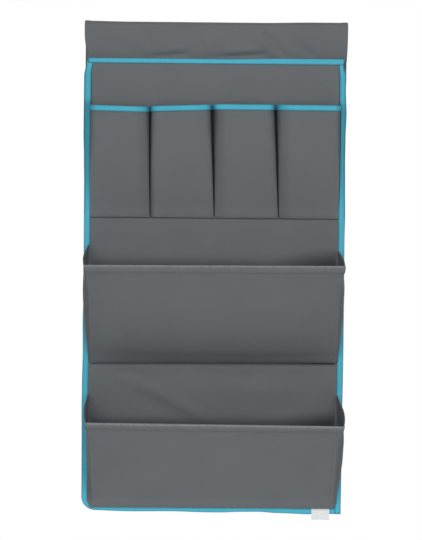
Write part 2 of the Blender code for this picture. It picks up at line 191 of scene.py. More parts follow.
# How far the bottom edge strays upwards, and the top edge and the sleeve's crown sag, across x
FOOT_DRIFT = (
    (245, -1.0), (190, -2.1), (126, -0.2), (90, 1.9), (60, 1.6), (15, 0.1), (-10, 0.1),
    (-75, 1.6), (-160, 0.9), (-225, 2.6), (-250, 1.8),
)
TOP_SAG = ((130, 0.0), (20, 1.9), (-245, 2.1))
CROWN_SAG = ((190, -0.2), (90, 1.4), (-170, 1.5), (-245, 0.5))

# How close the mesh's points lie on flat cloth
PITCH = 4 * MM

# A soft fold's rise at its two ends, as a share of its rise at its middle
FOLD_ENDS = 0.75

joints = {joint["name"]: joint for joint in frame["joints"]}
panel_low, panel_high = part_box("back_panel")
PANEL_TOP = panel_high.z
PANEL_BOTTOM = panel_low.z
PANEL_HALF = panel_high.x
EDGE_HALF = PANEL_HALF + CLEAR + TAPE
TOP = PANEL_TOP + CLEAR + TAPE
BOTTOM = PANEL_BOTTOM - CLEAR - TAPE
TAPE_INNER = EDGE_HALF - TAPE_WIDTH
TAPE_FACE = PANEL / 2 + CLEAR + TAPE
SMALL_SEAM = joints["pocket_1_fold"]["pos_m"][2]
UPPER_SEAM = joints["upper_pocket_fold"]["pos_m"][2]
LOWER_SEAM = joints["lower_pocket_fold"]["pos_m"][2]
SEAM_DEPTH = -joints["upper_pocket_fold"]["pos_m"][1]
MOUTH = SMALL_SEAM + SMALL_LENGTH * math.cos(SMALL_OPEN)


def mix(a, b, t):
    """The value a share t of the way from a to b."""
    return a + (b - a) * t


def clamp(value):
    """The value, or the nearer of 0 and 1."""
    return min(max(value, 0.0), 1.0)


def ease(value, low, high):
    """0 below low, 1 above high, and a smooth step between them."""
    t = clamp((value - low) / (high - low))
    return t * t * (3 - 2 * t)


def spread(start, end, steps):
    """Evenly spaced values from start to end."""
    return [mix(start, end, i / steps) for i in range(steps + 1)]


def flat(places):
    """Places along a sheet with no offset from its surface."""
    return [(place, 0.0) for place in places]


def traced(points, place):
    """A smooth run through (place, value) points in millimetres, from the highest place down."""
    spot = place / MM
    if spot >= points[0][0]:
        return points[0][1] * MM
    for (high, before), (low, after) in zip(points, points[1:]):
        if spot >= low:
            return mix(before, after, ease(high - spot, 0.0, high - low)) * MM
    return points[-1][1] * MM


def wave(x, z, size, seed):
    """A soft random rise and fall, from about -1 to 1, over features of this size."""
    return noise.noise(Vector((x / size, z / size, seed)))


def waves(x, z, kind, level=0):
    """Waves of a kind, as (rise, size, seed), about a level of so many rises."""
    rise, size, seed = kind
    return rise * (level + wave(x, z, size, seed))


def fold_lines(lines):
    """Folds listed in millimetres, as (start, end, width, rise), turned to metres."""
    ready = []
    for start, end, width, rise in lines:
        ends = [Vector([part * MM for part in point]) for point in (start, end)]
        ready.append((*ends, width * MM, rise * MM))
    return ready


def folds(x, z, lines):
    """How far soft folds lift the cloth: each a ridge between two points, its width and its rise."""
    lift = 0.0
    spot = Vector((x, z))
    for start, end, width, rise in lines:
        run = end - start
        share = clamp((spot - start).dot(run) / run.length_squared)
        away = (spot - start - run * share).length
        fullness = FOLD_ENDS + (1 - FOLD_ENDS) * math.sin(math.pi * share)
        lift += rise * math.exp(-((away / width) ** 2)) * fullness
    return lift


# Materials


def put(tree, kind, inputs=None, **settings):
    """A new shader node, with its settings and its inputs' values or links."""
    made = tree.nodes.new(kind)
    for key, value in settings.items():
        setattr(made, key, value)
    for key, value in (inputs or {}).items():
        if isinstance(value, bpy.types.NodeSocket):
            tree.links.new(value, made.inputs[key])
        else:
            made.inputs[key].default_value = value
    return made


def calc(tree, operation, a, b=0.5, c=0.5):
    """The output of a Math node."""
    return put(tree, "ShaderNodeMath", {0: a, 1: b, 2: c}, operation=operation).outputs[0]


def line(tree, value, slope, start):
    """A value times a slope, plus where it starts."""
    return calc(tree, "MULTIPLY_ADD", value, slope, start)


def noisy(tree, **inputs):
    """The value of a Noise node."""
    return put(tree, "ShaderNodeTexNoise", inputs).outputs[0]


def new_group(name, **inputs):
    """An empty node group and its inputs: a vector where no value is given, else a number."""
    tree = bpy.data.node_groups.new(name, "ShaderNodeTree")
    for label, value in inputs.items():
        kind = "NodeSocketVector" if value is None else "NodeSocketFloat"
        socket = tree.interface.new_socket(label, in_out="INPUT", socket_type=kind)
        if value is not None:
            socket.default_value = value
    return tree, tree.nodes.new("NodeGroupInput").outputs


def give(tree, **results):
    """Ends a node group with its named results."""
    for label in results:
        tree.interface.new_socket(label, in_out="OUTPUT", socket_type="NodeSocketFloat")
    put(tree, "NodeGroupOutput", results)
    return tree


def hump(tree, turn):
    """A round hump across each thread, from the thread's count."""
    side = line(tree, calc(tree, "FRACT", turn), 2.0, -1.0)
    return calc(tree, "SUBTRACT", 1.0, calc(tree, "MULTIPLY", side, side))


def plain_weave():
    """Warp and weft threads that pass over and under each other."""
    tree, given = new_group("Plain weave", Cloth=None, Thread=0.6 * MM)
    axes = put(tree, "ShaderNodeSeparateXYZ", {0: given["Cloth"]})
    warp, weft = [calc(tree, "DIVIDE", axes.outputs[way], given["Thread"]) for way in "XY"]
    cells = calc(tree, "ADD", calc(tree, "FLOOR", warp), calc(tree, "FLOOR", weft))
    over = calc(tree, "FLOORED_MODULO", cells, 2.0)
    across, along = hump(tree, warp), hump(tree, weft)
    warp_up = calc(tree, "MULTIPLY", across, line(tree, along, 0.5, 0.5))
    weft_up = calc(tree, "MULTIPLY", along, line(tree, across, 0.5, 0.5))
    height = put(tree, "ShaderNodeMix", {0: over, 2: weft_up, 3: warp_up})
    return give(tree, Height=height.outputs[0])


def ribbed_weave():
    """The cross ribs of a woven tape, with its fine lengthwise threads."""
    tree, given = new_group("Ribbed tape weave", Cloth=None, Rib=0.9 * MM, Thread=0.3 * MM)
    axes = put(tree, "ShaderNodeSeparateXYZ", {0: given["Cloth"]})
    rib = hump(tree, calc(tree, "DIVIDE", axes.outputs["X"], given["Rib"]))
    fine = hump(tree, calc(tree, "DIVIDE", axes.outputs["Y"], given["Thread"]))
    return give(tree, Height=line(tree, fine, 0.25, calc(tree, "MULTIPLY", rib, 0.75)))


def mottling():
    """Uneven dye and handling, a broad and a fine variation about 1, and small creases."""
    tree, given = new_group("Mottling", Place=None, Broad=14.0, Fine=240.0, Amount=0.1)
    place = given["Place"]
    broad = noisy(tree, Vector=place, Scale=given["Broad"], Detail=3.0)
    fine = noisy(tree, Vector=place, Scale=given["Fine"], Detail=2.0)
    middle = calc(tree, "SUBTRACT", line(tree, fine, 0.4, broad), 0.7)
    creases = noisy(tree, Vector=place, Scale=38.0, Detail=4.0, Roughness=0.55, Distortion=0.6)
    return give(tree, Shade=line(tree, middle, given["Amount"], 1.0), Creases=creases)


def wear_and_painted_light():
    """1 on a sheet's rim and folds, broken up by noise, else 0: wear on cloth, a painted highlight on
    hems, painted shade on tapes.
    """
    tree, given = new_group("Edge wear", Edge=0.0, Place=None)
    patchy = noisy(tree, Vector=given["Place"], Scale=180.0, Detail=3.0)
    power = calc(tree, "POWER", given["Edge"], 2.0)
    return give(tree, Rubbed=calc(tree, "MULTIPLY", power, patchy))


WEAVE, RIBS, MOTTLE, WEAR_AND_PAINTED_LIGHT = plain_weave(), ribbed_weave(), mottling(), wear_and_painted_light()


def group(tree, which, **inputs):
    """The outputs of a node group placed in a material."""
    return put(tree, "ShaderNodeGroup", inputs, node_tree=which).outputs


def marked(tree, name):
    """A piece's own measure of this name."""
    return put(tree, "ShaderNodeAttribute", attribute_name=name).outputs["Fac"]


def unshaded(tree):
    """1 where no shade is painted, falling with the piece's own measure of painted shade."""
    return line(tree, marked(tree, "grime"), -PAINTED_SHADE_DEPTH, 1.0)


def new_finish(name, sheen=0.0, sheen_roughness=0.4, specular=0.4):
    """A material, with its cloth coordinates and object coordinates."""
    material = bpy.data.materials.new(name)
    material.use_nodes = True
    tree = material.node_tree
    shader = tree.nodes["Principled BSDF"].inputs
    shader["Metallic"].default_value = 0.0
    shader["Specular IOR Level"].default_value = specular
    shader["Sheen Weight"].default_value = sheen
    shader["Sheen Roughness"].default_value = sheen_roughness
    coordinates = put(tree, "ShaderNodeTexCoord").outputs
    return material, tree, coordinates["UV"], coordinates["Object"]


def complete(material, colour, factors, rough, layers):
    """Gives a material its colour times grey factors, its roughness and its bumps.

    layers are the bumps on top of each other, each a height and how deep it is.
    """
    tree = material.node_tree
    shader = tree.nodes["Principled BSDF"].inputs
    tint = (*colour, 1.0)
    for factor in factors:
        inputs = {0: 1.0, 6: tint, 7: factor}
        tint = put(tree, "ShaderNodeMix", inputs, data_type="RGBA", blend_type="MULTIPLY").outputs[2]
    tree.links.new(tint, shader["Base Color"])
    tree.links.new(rough, shader["Roughness"])
    bump = {"Strength": 1.0}
    for height, depth in layers:
        bump |= {"Height": height, "Distance": depth}
        bump["Normal"] = put(tree, "ShaderNodeBump", bump).outputs["Normal"]
    tree.links.new(bump["Normal"], shader["Normal"])
    return material


def woven(name, colour, thread, rough, wear_and_highlight, mottle, sheen, creases=0.35 * MM):
    """Plain-woven cloth: thread pitch, roughness, how much edges lighten (wear; on the hem, a painted
    highlight), and dye variation.
    """
    material, tree, cloth_place, place = new_finish(name, sheen, specular=0.16)
    weave = group(tree, WEAVE, Cloth=cloth_place, Thread=thread)["Height"]
    dye = group(tree, MOTTLE, Place=place, Amount=mottle)
    rim_marks = group(tree, WEAR_AND_PAINTED_LIGHT, Edge=marked(tree, "edge"), Place=place)["Rubbed"]
    # The last factor is the shade painted on the piece.
    factors = [line(tree, weave, 0.16, 0.9), dye["Shade"], line(tree, rim_marks, wear_and_highlight, 1.0), unshaded(tree)]
    dull = line(tree, dye["Shade"], 0.25, rough - 0.25)
    layers = [(dye["Creases"], creases), (weave, 0.05 * MM)]
    return complete(material, colour, factors, dull, layers)


def ribbed(name, colour, rough):
    """Ribbed polyester tape, with painted shade along its rims and fold."""
    material, tree, cloth_place, place = new_finish(name, sheen=0.06, specular=0.22)
    weave = group(tree, RIBS, Cloth=cloth_place)["Height"]
    dye = group(tree, MOTTLE, Place=place, Amount=0.16)
    edge = marked(tree, "edge")
    # Painted shade along the tape's rims and fold, one part broken up in patches and one even, then the
    # shade painted on the piece.
    patchy_rim_shade = line(tree, group(tree, WEAR_AND_PAINTED_LIGHT, Edge=edge, Place=place)["Rubbed"], -0.5, 1.0)
    rim_shade = line(tree, calc(tree, "POWER", edge, 1.5), -0.6, 1.0)
    factors = [line(tree, weave, 0.2, 0.86), dye["Shade"], patchy_rim_shade, rim_shade, unshaded(tree)]
    layers = [(dye["Creases"], 0.2 * MM), (weave, 0.08 * MM)]
    return complete(material, colour, factors, line(tree, weave, -0.12, rough), layers)


def sewing_thread(name, colour):
    """Twisted polyester thread."""
    material, tree, _, place = new_finish(name, sheen=0.1, specular=0.5)
    inputs = {"Vector": place, "Scale": 700.0, "Distortion": 1.0}
    twist = put(tree, "ShaderNodeTexWave", inputs, bands_direction="DIAGONAL").outputs["Fac"]
    dye = group(tree, MOTTLE, Place=place, Amount=0.2)
    factors = [line(tree, twist, 0.3, 0.8), dye["Shade"]]
    return complete(material, colour, factors, line(tree, twist, -0.15, 0.65), [(twist, 0.05 * MM)])


def napped(name, colour):
    """Hook and loop tape: a short matted nap."""
    material, tree, _, place = new_finish(name, sheen=0.4, sheen_roughness=0.6, specular=0.25)
    inputs = {"Vector": place, "Scale": 900.0, "Randomness": 0.8}
    fibres = put(tree, "ShaderNodeTexVoronoi", inputs).outputs["Distance"]
    dye = group(tree, MOTTLE, Place=place, Amount=0.5, Fine=600.0)
    factors = [line(tree, fibres, 0.6, 0.7), dye["Shade"]]
    layers = [(dye["Creases"], 0.5 * MM), (fibres, 0.35 * MM)]
    return complete(material, colour, factors, line(tree, fibres, 0.1, 0.82), layers)


def clear_plastic(name, colour):
    """Milky plastic strip with faint drawing lines."""
    material, tree, _, place = new_finish(name, specular=0.5)
    drawn = put(tree, "ShaderNodeMapping", {0: place, 3: (4, 300, 300)}).outputs[0]
    lines = noisy(tree, Vector=drawn, Scale=3.0)
    shade = group(tree, MOTTLE, Place=place, Amount=0.1)["Shade"]
    return complete(material, colour, [shade], line(tree, lines, 0.2, 0.28), [(lines, 0.03 * MM)])


GREY = (0.142, 0.155, 0.1635)
BLUE = (0.074, 0.455, 0.61)
finishes = {
    "grey_polyester": woven("Grey polyester", GREY, 0.6 * MM, 0.7, 0.35, 0.12, 0.06),
    # The hem's finish lightens strongly along its front leg's end: a painted highlight.
    "worn_hem": woven("Worn grey polyester", GREY, 0.6 * MM, 0.7, 1.55, 0.12, 0.06),
    "blue_tape": ribbed("Blue tape", BLUE, 0.62),
    "grey_thread": sewing_thread("Grey thread", (0.11, 0.115, 0.12)),
    "blue_thread": sewing_thread("Blue thread", (0.06, 0.35, 0.52)),
    "black_nylon": napped("Black nylon nap", (0.02, 0.02, 0.022)),
    "clear_strip": clear_plastic("Milky strip", (0.55, 0.57, 0.58)),
    "white_label": woven("White label", (0.83, 0.84, 0.85), 0.25 * MM, 0.6, 0.05, 0.03, 0.05, 0.1 * MM),
}


# Making pieces


def outward(surface, u, v):
    """The surface's normal, which is to -Y where u runs to +X and v runs up."""
    step = 0.001
    over = surface(u + step, v) - surface(u - step, v)
    up = surface(u, v + step) - surface(u, v - step)
    return over.cross(up).normalized()


def lengths(points):
    """How far along a row each of its points lies."""
    total = [0.0]
    for before, after in zip(points, points[1:]):
        total.append(total[-1] + (after - before).length)
    return total


def placed(name, data):
    """A new object in the scene that holds this data."""
    obj = bpy.data.objects.new(name, data)
    bpy.context.scene.collection.objects.link(obj)
    return obj


def built(name, shape):
    """A mesh made of this shape, which is let go."""
    mesh = bpy.data.meshes.new(name)
    shape.to_mesh(mesh)
    shape.free()
    return mesh


def cloth(
    name, surface, across, along, thickness, face=1, edge_width=6 * MM, rims="lrdu", fold=None
):
    """A sheet of cloth with its weave's coordinates in metres, and how near each point is to a rim.

    across and along list (share, offset) pairs: where on surface(u, v) each column and row lies, and
    how far off the surface, so that a hem or a tape folds over its own sheet. rims says which of the
    left, right, down and up sides are the cloth's own edges, and fold which row lies on a sharp fold.
    """
    columns, rows = len(across) - 1, len(along) - 1

    def spot(i, j):
        (u, off_u), (v, off_v) = across[i], along[j]
        point = surface(u, v)
        off = off_u + off_v
        return point + outward(surface, u, v) * off * face if off else point

    shape = bmesh.new()
    bmesh.ops.create_grid(shape, x_segments=columns, y_segments=rows, size=0.5)
    weave = shape.loops.layers.uv.new("Weave")
    edge = shape.verts.layers.float.new("edge")
    shape.verts.index_update()
    places, spots = [], {}
    for vert in shape.verts:
        place = (round((vert.co.x + 0.5) * columns), round((vert.co.y + 0.5) * rows))
        places.append(place)
        vert.co = spots[place] = spot(*place)
    row_lengths = lengths([spots[i, rows // 2] for i in range(columns + 1)])
    column_lengths = lengths([spots[columns // 2, j] for j in range(rows + 1)])
    for facet in shape.faces:
        for loop in facet.loops:
            i, j = places[loop.vert.index]
            loop[weave].uv = (row_lengths[i], column_lengths[j])
    for vert, (i, j) in zip(shape.verts, places):
        left, right = row_lengths[i], row_lengths[-1] - row_lengths[i]
        low, high = column_lengths[j], column_lengths[-1] - column_lengths[j]
        gaps = [gap for side, gap in zip("lrdu", (left, right, low, high)) if side in rims]
        if fold is not None:
            gaps.append(abs(column_lengths[j] - column_lengths[fold]))
        vert[edge] = 1 - min(*gaps, edge_width) / edge_width
    area = sum(facet.calc_area() for facet in shape.faces)
    width = max(lengths([spots[i, j] for i in range(columns + 1)])[-1] for j in (0, rows // 2, rows))
    length = max(lengths([spots[i, j] for j in range(rows + 1)])[-1] for i in (0, columns // 2, columns))
    thicken(shape, thickness)
    mesh = built(name, shape)
    mesh.shade_smooth()
    mesh.set_sharp_from_angle(angle=math.radians(40))
    obj = placed(name, mesh)
    obj["cut"] = (width, length, area)
    return obj


def thicken(shape, thickness):
    """Gives a sheet its thickness, half to each side, however tightly it folds."""
    shape.normal_update()
    number = shape.verts.layers.int.new("number")
    sides = []
    for vert in shape.verts:
        vert[number] = len(sides)
        move = vert.normal * thickness / 2
        sides.append((vert.co + move, vert.co - move))
    bmesh.ops.solidify(shape, geom=shape.faces[:], thickness=thickness)
    for index, vert in enumerate(shape.verts):
        vert.co = sides[vert[number]][index >= len(sides)]
    shape.verts.layers.int.remove(number)
    shape.normal_update()


def dress(obj, finish, body, *nodes):
    """Gives a piece its finish and the body it moves with, and hides the nodes it stands for."""
    obj.data.materials.append(finishes[finish])
    if nodes:
        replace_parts(obj, *nodes)
    if body:
        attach(obj, body)
    return obj


def paint_shade(obj, amount):
    """Marks how much shade is painted on a piece, from 0 to 1: one amount, or one for each place."""
    layer = obj.data.attributes.new("grime", "FLOAT", "POINT")
    for number, vert in enumerate(obj.data.vertices):
        layer.data[number].value = amount(vert.co) if callable(amount) else amount


def declare(obj):
    """Reads the size that a sheet of cloth was cut to, and does nothing with it."""
    width, length, area = obj["cut"]
    area = min(area, width * length)


def one_stitch():
    """A single stitch: a short thread along Z that tapers into the cloth at both its ends."""
    shape = bmesh.new()
    size = Matrix.Diagonal((THREAD_RADIUS, THREAD_RADIUS, STITCH_LENGTH / 2, 1.0))
    bmesh.ops.create_uvsphere(shape, u_segments=6, v_segments=4, radius=1.0, matrix=size)
    return built("one_stitch", shape)


STITCH = one_stitch()


def stitches(name, routes, finish, body, *nodes):
    """Rows of separate stitches along routes of points."""
    turns = []
    for route in routes:
        gone = lengths(route)
        count = max(int(gone[-1] / STITCH_PITCH), 1)
        leg = 1
        for number in range(count):
            middle = (number + 0.5) / count * gone[-1]
            while gone[leg] < middle:
                leg += 1
            share = (middle - gone[leg - 1]) / (gone[leg] - gone[leg - 1])
            place = route[leg - 1].lerp(route[leg], share)
            run = (route[leg] - route[leg - 1]).normalized()
            turns.append(Matrix.Translation(place) @ run.to_track_quat("Z", "Y").to_matrix().to_4x4())
    shape = bmesh.new()
    for _ in turns:
        shape.from_mesh(STITCH)
    shape.verts.ensure_lookup_table()
    for number, vert in enumerate(shape.verts):
        vert.co = turns[number // len(STITCH.vertices)] @ vert.co
    mesh = built(name, shape)
    mesh.shade_smooth()
    return dress(placed(name, mesh), finish, body, *nodes)


def fold_over(start, front, back, leg, steps=8):
    """Rows of a tape or hem that folds over an edge, as (height, offset), front leg first.

    start is the edge's height. front and back are the two legs' offsets from the sheet.
    """
    radius = (front - back) / 2
    middle = (front + back) / 2
    rows = [(start - leg + leg * i / 4, front) for i in range(4)]
    for i in range(steps + 1):
        turn = math.pi * i / steps
        rows.append((start + radius * math.sin(turn), middle + radius * math.cos(turn)))
    rows += [(start - leg * i / 4, back) for i in range(1, 5)]
    return rows


# The rows of such a fold at its crown, and where its front leg ends
FOLD_ROW = 8
LEG_ROW = 4


# Panel

PANEL_FOLDS = fold_lines((
    ((-200, -10), (-115, -27), 9, -1.5),
    ((-115, -27), (-70, -20), 12, -1.2),
    ((-165, -30), (-100, -58), 12, 1.8),
    ((-100, -58), (-56, -80), 11, 2.0),
    ((-56, -80), (-20, -100), 11, 1.8),
    ((-140, -60), (-35, -112), 13, -1.4),
    ((-30, -14), (60, -24), 13, -1.1),
    ((60, -20), (170, -26), 14, -1.3),
    ((20, -45), (150, -52), 14, 0.8),
))
PANEL_FOLD_REACH = 125 * MM
# The panel's slack, which stands forward between two seams
BULGE = 5 * MM
BULGE_RUN = 130 * MM
BULGE_FULLNESS = 1.3
# Uneven cloth: how far it rises, the size of its waves and their seed
HEADER_WAVES = (0.35 * MM, 70 * MM, 8.4)
HIDDEN_WAVES = (0.3 * MM, 80 * MM, 5.2)
OPEN_WAVES = (0.8 * MM, 60 * MM, 3.1)
LOWER_WAVES = (0.9 * MM, 75 * MM, 1.7)


def corner_inset(z, inset):
    """How far a side edge is drawn in at height z, near the top corner."""
    return inset * clamp(1 - (PANEL_TOP - z) / TOP_CORNER_RUN) ** 2


def right_x(z):
    """The panel's right edge at height z, drawn in a little at the top and over its foot."""
    foot = max(0.0, 1 - (z - BOTTOM) / RIGHT_FOOT_RUN)
    inset = corner_inset(z, RIGHT_CORNER_INSET) + RIGHT_FOOT_INSET * foot
    return PANEL_HALF - inset + traced(RIGHT_DRIFT, z)


def left_x(z):
    """The panel's left edge at height z, with its rounded bottom corner."""
    short = max(0.0, PANEL_BOTTOM + BOTTOM_CORNER_RADIUS - z)
    across = math.sqrt(max(0.0, BOTTOM_CORNER_RADIUS**2 - short**2))
    inset = corner_inset(z, LEFT_CORNER_INSET) + BOTTOM_CORNER_RADIUS - across
    return -PANEL_HALF + inset - traced(LEFT_DRIFT, z)


def foot_drift(x, z):
    """How far the panel's bottom edge is moved up or down at this place."""
    return traced(FOOT_DRIFT, x) * (1 - ease(z, PANEL_BOTTOM, PANEL_BOTTOM + 60 * MM))


def inside_tapes(x, z):
    """0 on the edge tapes, and 1 well inside them."""
    beside = ease(TAPE_INNER - abs(x), 0.0, 45 * MM)
    return beside * ease(TOP - TAPE_WIDTH - z, 0.0, 25 * MM)


def panel_depth(x, z):
    """How far the panel's middle surface has moved forward of its plane."""
    drop = z - UPPER_SEAM
    depth = 0.0
    if -PANEL_FOLD_REACH - 40 * MM < drop < 0:
        held = ease(-drop, 2 * MM, 14 * MM)
        held *= 1 - ease(-drop, PANEL_FOLD_REACH - 20 * MM, PANEL_FOLD_REACH + 20 * MM)
        depth += (folds(x, drop, PANEL_FOLDS) + waves(x, z, OPEN_WAVES)) * held
    elif MOUTH < z:
        depth += waves(x, z, HEADER_WAVES, 1) * ease(z, MOUTH, MOUTH + 20 * MM)
    elif SMALL_SEAM < z:
        depth -= waves(x, z, HIDDEN_WAVES, 1)
    else:
        top = SMALL_SEAM if z > UPPER_SEAM else UPPER_SEAM
        low = UPPER_SEAM if z > UPPER_SEAM else LOWER_SEAM
        held = ease(top - z, 2 * MM, 25 * MM) * ease(z - low, 2 * MM, 25 * MM)
        depth += waves(x, z, LOWER_WAVES) * held
    for top, low in ((SMALL_SEAM, UPPER_SEAM), (UPPER_SEAM, LOWER_SEAM)):
        depth += BULGE * ease(top - z, 0.0, BULGE_RUN) * ease(z - low, 0.0, BULGE_RUN) * BULGE_FULLNESS
    return depth * inside_tapes(x, z)


def corner_heights(steps):
    """Heights round the bottom left corner, from its top down to the bottom edge."""
    turns = spread(0, math.pi / 2, steps)
    return [PANEL_BOTTOM + BOTTOM_CORNER_RADIUS * (1 - math.sin(a)) for a in turns]


def back_panel():
    """The back panel, with its soft folds and its rounded bottom corner."""
    heights = list(reversed(corner_heights(8)))
    steps = round((PANEL_TOP - heights[-1]) / PITCH)
    heights += spread(heights[-1], PANEL_TOP, steps)[1:]
    count = len(heights) - 1

    def surface(u, v):
        z = heights[round(v * count)]
        x = mix(left_x(z), right_x(z), u)
        moved = z + foot_drift(x, z) - traced(TOP_SAG, x) * ease(z, PANEL_TOP - TAPE_WIDTH, PANEL_TOP)
        return Vector((x, -panel_depth(x, z), moved))

    across = flat(spread(0, 1, round(2 * PANEL_HALF / PITCH)))

    def pocket_shade(spot):
        """How much shade is painted on the panel inside the large pockets, on its front face alone."""
        if spot.y > -panel_depth(spot.x, spot.z):
            return 0.0
        place = 0 if spot.z > UPPER_SEAM else 1
        corner = ease(spot.x, *CORNER_POCKET_SHADE_SPAN)
        top = POCKET_SHADE_TOPS[place] + corner * CORNER_POCKET_SHADE_RISES[place]
        fade = POCKET_SHADE_FADES[place] + corner * CORNER_POCKET_SHADE_RISES[place]
        full = POCKET_SHADE_AMOUNTS[place] + corner * CORNER_POCKET_SHADES[place]
        return full * ease(top - spot.z, 0.0, fade) * ease(TAPE_INNER - abs(spot.x), 0.0, 8 * MM)

    obj = cloth("panel_cloth", surface, across, flat(spread(0, 1, count)), PANEL)
    paint_shade(obj, pocket_shade)
    return dress(obj, "grey_polyester", "panel", "back_panel")


# Edge tapes

TAPE_OFF = PANEL / 2 + CLEAR + TAPE / 2
TAPE_LEG = TAPE_WIDTH - TAPE - CLEAR
# How far the side tapes' inner edges are pulled forward and drawn in, how that grows up the small
# pockets, and how it falls above their mouths and ends below the top
TILT_RISES = (11 * MM, 10 * MM)
TILT_NARROWING = (0.0, 1.6 * MM)
TILT_GAIN = 1.15
TILT_POWER = 1.5
TILT_ABOVE = 14 * MM
TILT_FADE = (30 * MM, 10 * MM)
HEADER_TILT = 2.6 * MM
HEADER_TAPE_GAIN = 0.5 * MM
# How soon a tape comes down off another, and how far below the small pockets its straying ends
LAP_RUN = 4 * MM
STRAY_FADE = 30 * MM


def tape_rise(x, z):
    """How far a side tape's inner edge is pulled forward by the small pocket beside it."""
    most = TILT_RISES[x > 0]
    if z > MOUTH:
        above = mix(HEADER_TILT, most, 1 - ease(z, MOUTH, MOUTH + TILT_ABOVE))
        return above * (1 - ease(z, TOP - TILT_FADE[0], TOP - TILT_FADE[1]))
    stands = max(0.0, z - SMALL_SEAM) * math.tan(SMALL_OPEN)
    return most * (1 - math.exp(-((TILT_GAIN * stands / most) ** TILT_POWER)))


def path_normals(path):
    """The outward direction at each point of a path that goes clockwise round the panel."""
    normals = []
    for index in range(len(path)):
        along = (path[min(index + 1, len(path) - 1)] - path[max(index - 1, 0)]).normalized()
        normals.append(Vector((-along.y, along.x)))
    return normals


def edge_tape(name, path, node, lap_start=0.0, lap_end=0.0, joint=None):
    """Tape folded over the panel's edge along a path of (x, z) points, and its row of stitching.

    lap_start and lap_end are how long an end is that lies on top of another tape. joint is that of the
    small pocket beside the tape, which pulls the tape's front forward.
    """
    path = [Vector(point) for point in path]
    normals = path_normals(path)
    gone = lengths([Vector((p.x, 0, p.y)) for p in path])
    count = len(path) - 1
    turn = CLEAR + TAPE / 2
    section = fold_over(turn - TAPE_OFF, TAPE_OFF, -TAPE_OFF, TAPE_LEG + turn - TAPE_OFF)

    def lap(index):
        """How far the tape is lifted where it lies on another tape."""
        lift = 0.0
        if lap_start:
            lift += 1 - ease(gone[index], lap_start, lap_start + LAP_RUN)
        if lap_end:
            lift += 1 - ease(gone[-1] - gone[index], lap_end, lap_end + LAP_RUN)
        return lift * (TAPE + SNUG)

    def place(index, across, depth):
        spot = path[index] + normals[index] * across
        if name == "top":
            spot.y -= traced(TOP_SAG, spot.x) * clamp(1 + across / TAPE_LEG)
        depth += math.copysign(lap(index), depth) if abs(depth) > SNUG else 0.0
        if depth > 0 and joint:
            share = clamp(-across / TAPE_LEG)
            side = int(spot.x > 0)
            rise = tape_rise(spot.x, spot.y)
            depth += rise * share
            if spot.y > SMALL_SEAM - STRAY_FADE:
                stray = traced((LEFT_DRIFT, RIGHT_DRIFT)[side], spot.y) + HEADER_TAPE_GAIN
                stray *= ease(spot.y, SMALL_SEAM - STRAY_FADE, SMALL_SEAM)
                stray -= TILT_NARROWING[side] * rise / TILT_RISES[side]
                spot.x -= (-1, 1)[side] * stray * share
        inner = abs(across + TAPE_LEG) < 2 * MM
        spot += normals[index] * 0.25 * MM * wave(spot.x, spot.y, 9 * MM, 2.6) * inner
        return Vector((spot.x, -depth, spot.y))

    legs = len(section) - 1

    def part(label, start, end, low, high, rims):
        """A stretch of the tape, from one point of the path to another and one row to another."""

        def surface(u, v):
            index = start + round(u * (end - start))
            across, depth = section[low + round(v * (high - low))]
            return place(index, across, depth)

        columns, rows = flat(spread(0, 1, end - start)), flat(spread(0, 1, high - low))
        fold = min(FOLD_ROW - low, high - low)
        obj = cloth(label, surface, columns, rows, TAPE, edge_width=TAPE_RIM_SHADE_WIDTH, rims=rims, fold=fold)
        return dress(obj, "blue_tape", "panel")

    inset = TAPE_LEG - STITCH_INSET
    over = TAPE_OFF + TAPE / 2 + THREAD_RADIUS / 3

    def row(start, end, side):
        return [place(i, -inset, side * over) for i in range(start, end + 1)]

    if joint is None:
        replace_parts(part(name + "_tape", 0, count, 0, legs, "lrdu"), node)
        rows = [row(0, count, side) for side in (1, -1)]
    else:
        lifted = [i for i, p in enumerate(path) if SMALL_SEAM < p.y < TOP - 12 * MM]
        start, end = lifted[0], lifted[-1]
        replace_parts(part(name + "_tape", 0, start, 0, legs, "ldu"), node)
        part(name + "_tape_end", end, count, 0, legs, "rdu")
        part(name + "_tape_back", start, end, LEG_ROW, legs, "u")
        pulled = part(name + "_tape_front", start, end, 0, LEG_ROW, "d")
        side = int(joint == "pocket_4_fold")

        # Painted shade on the pulled-forward front of the side tape, growing with its tilt.
        def grime(spot):
            return PULLED_TAPE_PAINTED_SHADE[side] * tape_rise(spot.x, spot.z) / TILT_RISES[side]

        paint_shade(pulled, grime)
        pulled_row = stitches(name + "_front_stitches", [row(start, end, 1)], "blue_thread", "panel")
        for piece in (pulled, pulled_row):
            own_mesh(piece)
        rows = [row(0, start, 1), row(end, count, 1), row(0, count, -1)]
    stitches(name + "_stitches", rows, "blue_thread", "panel", node + "_stitching")


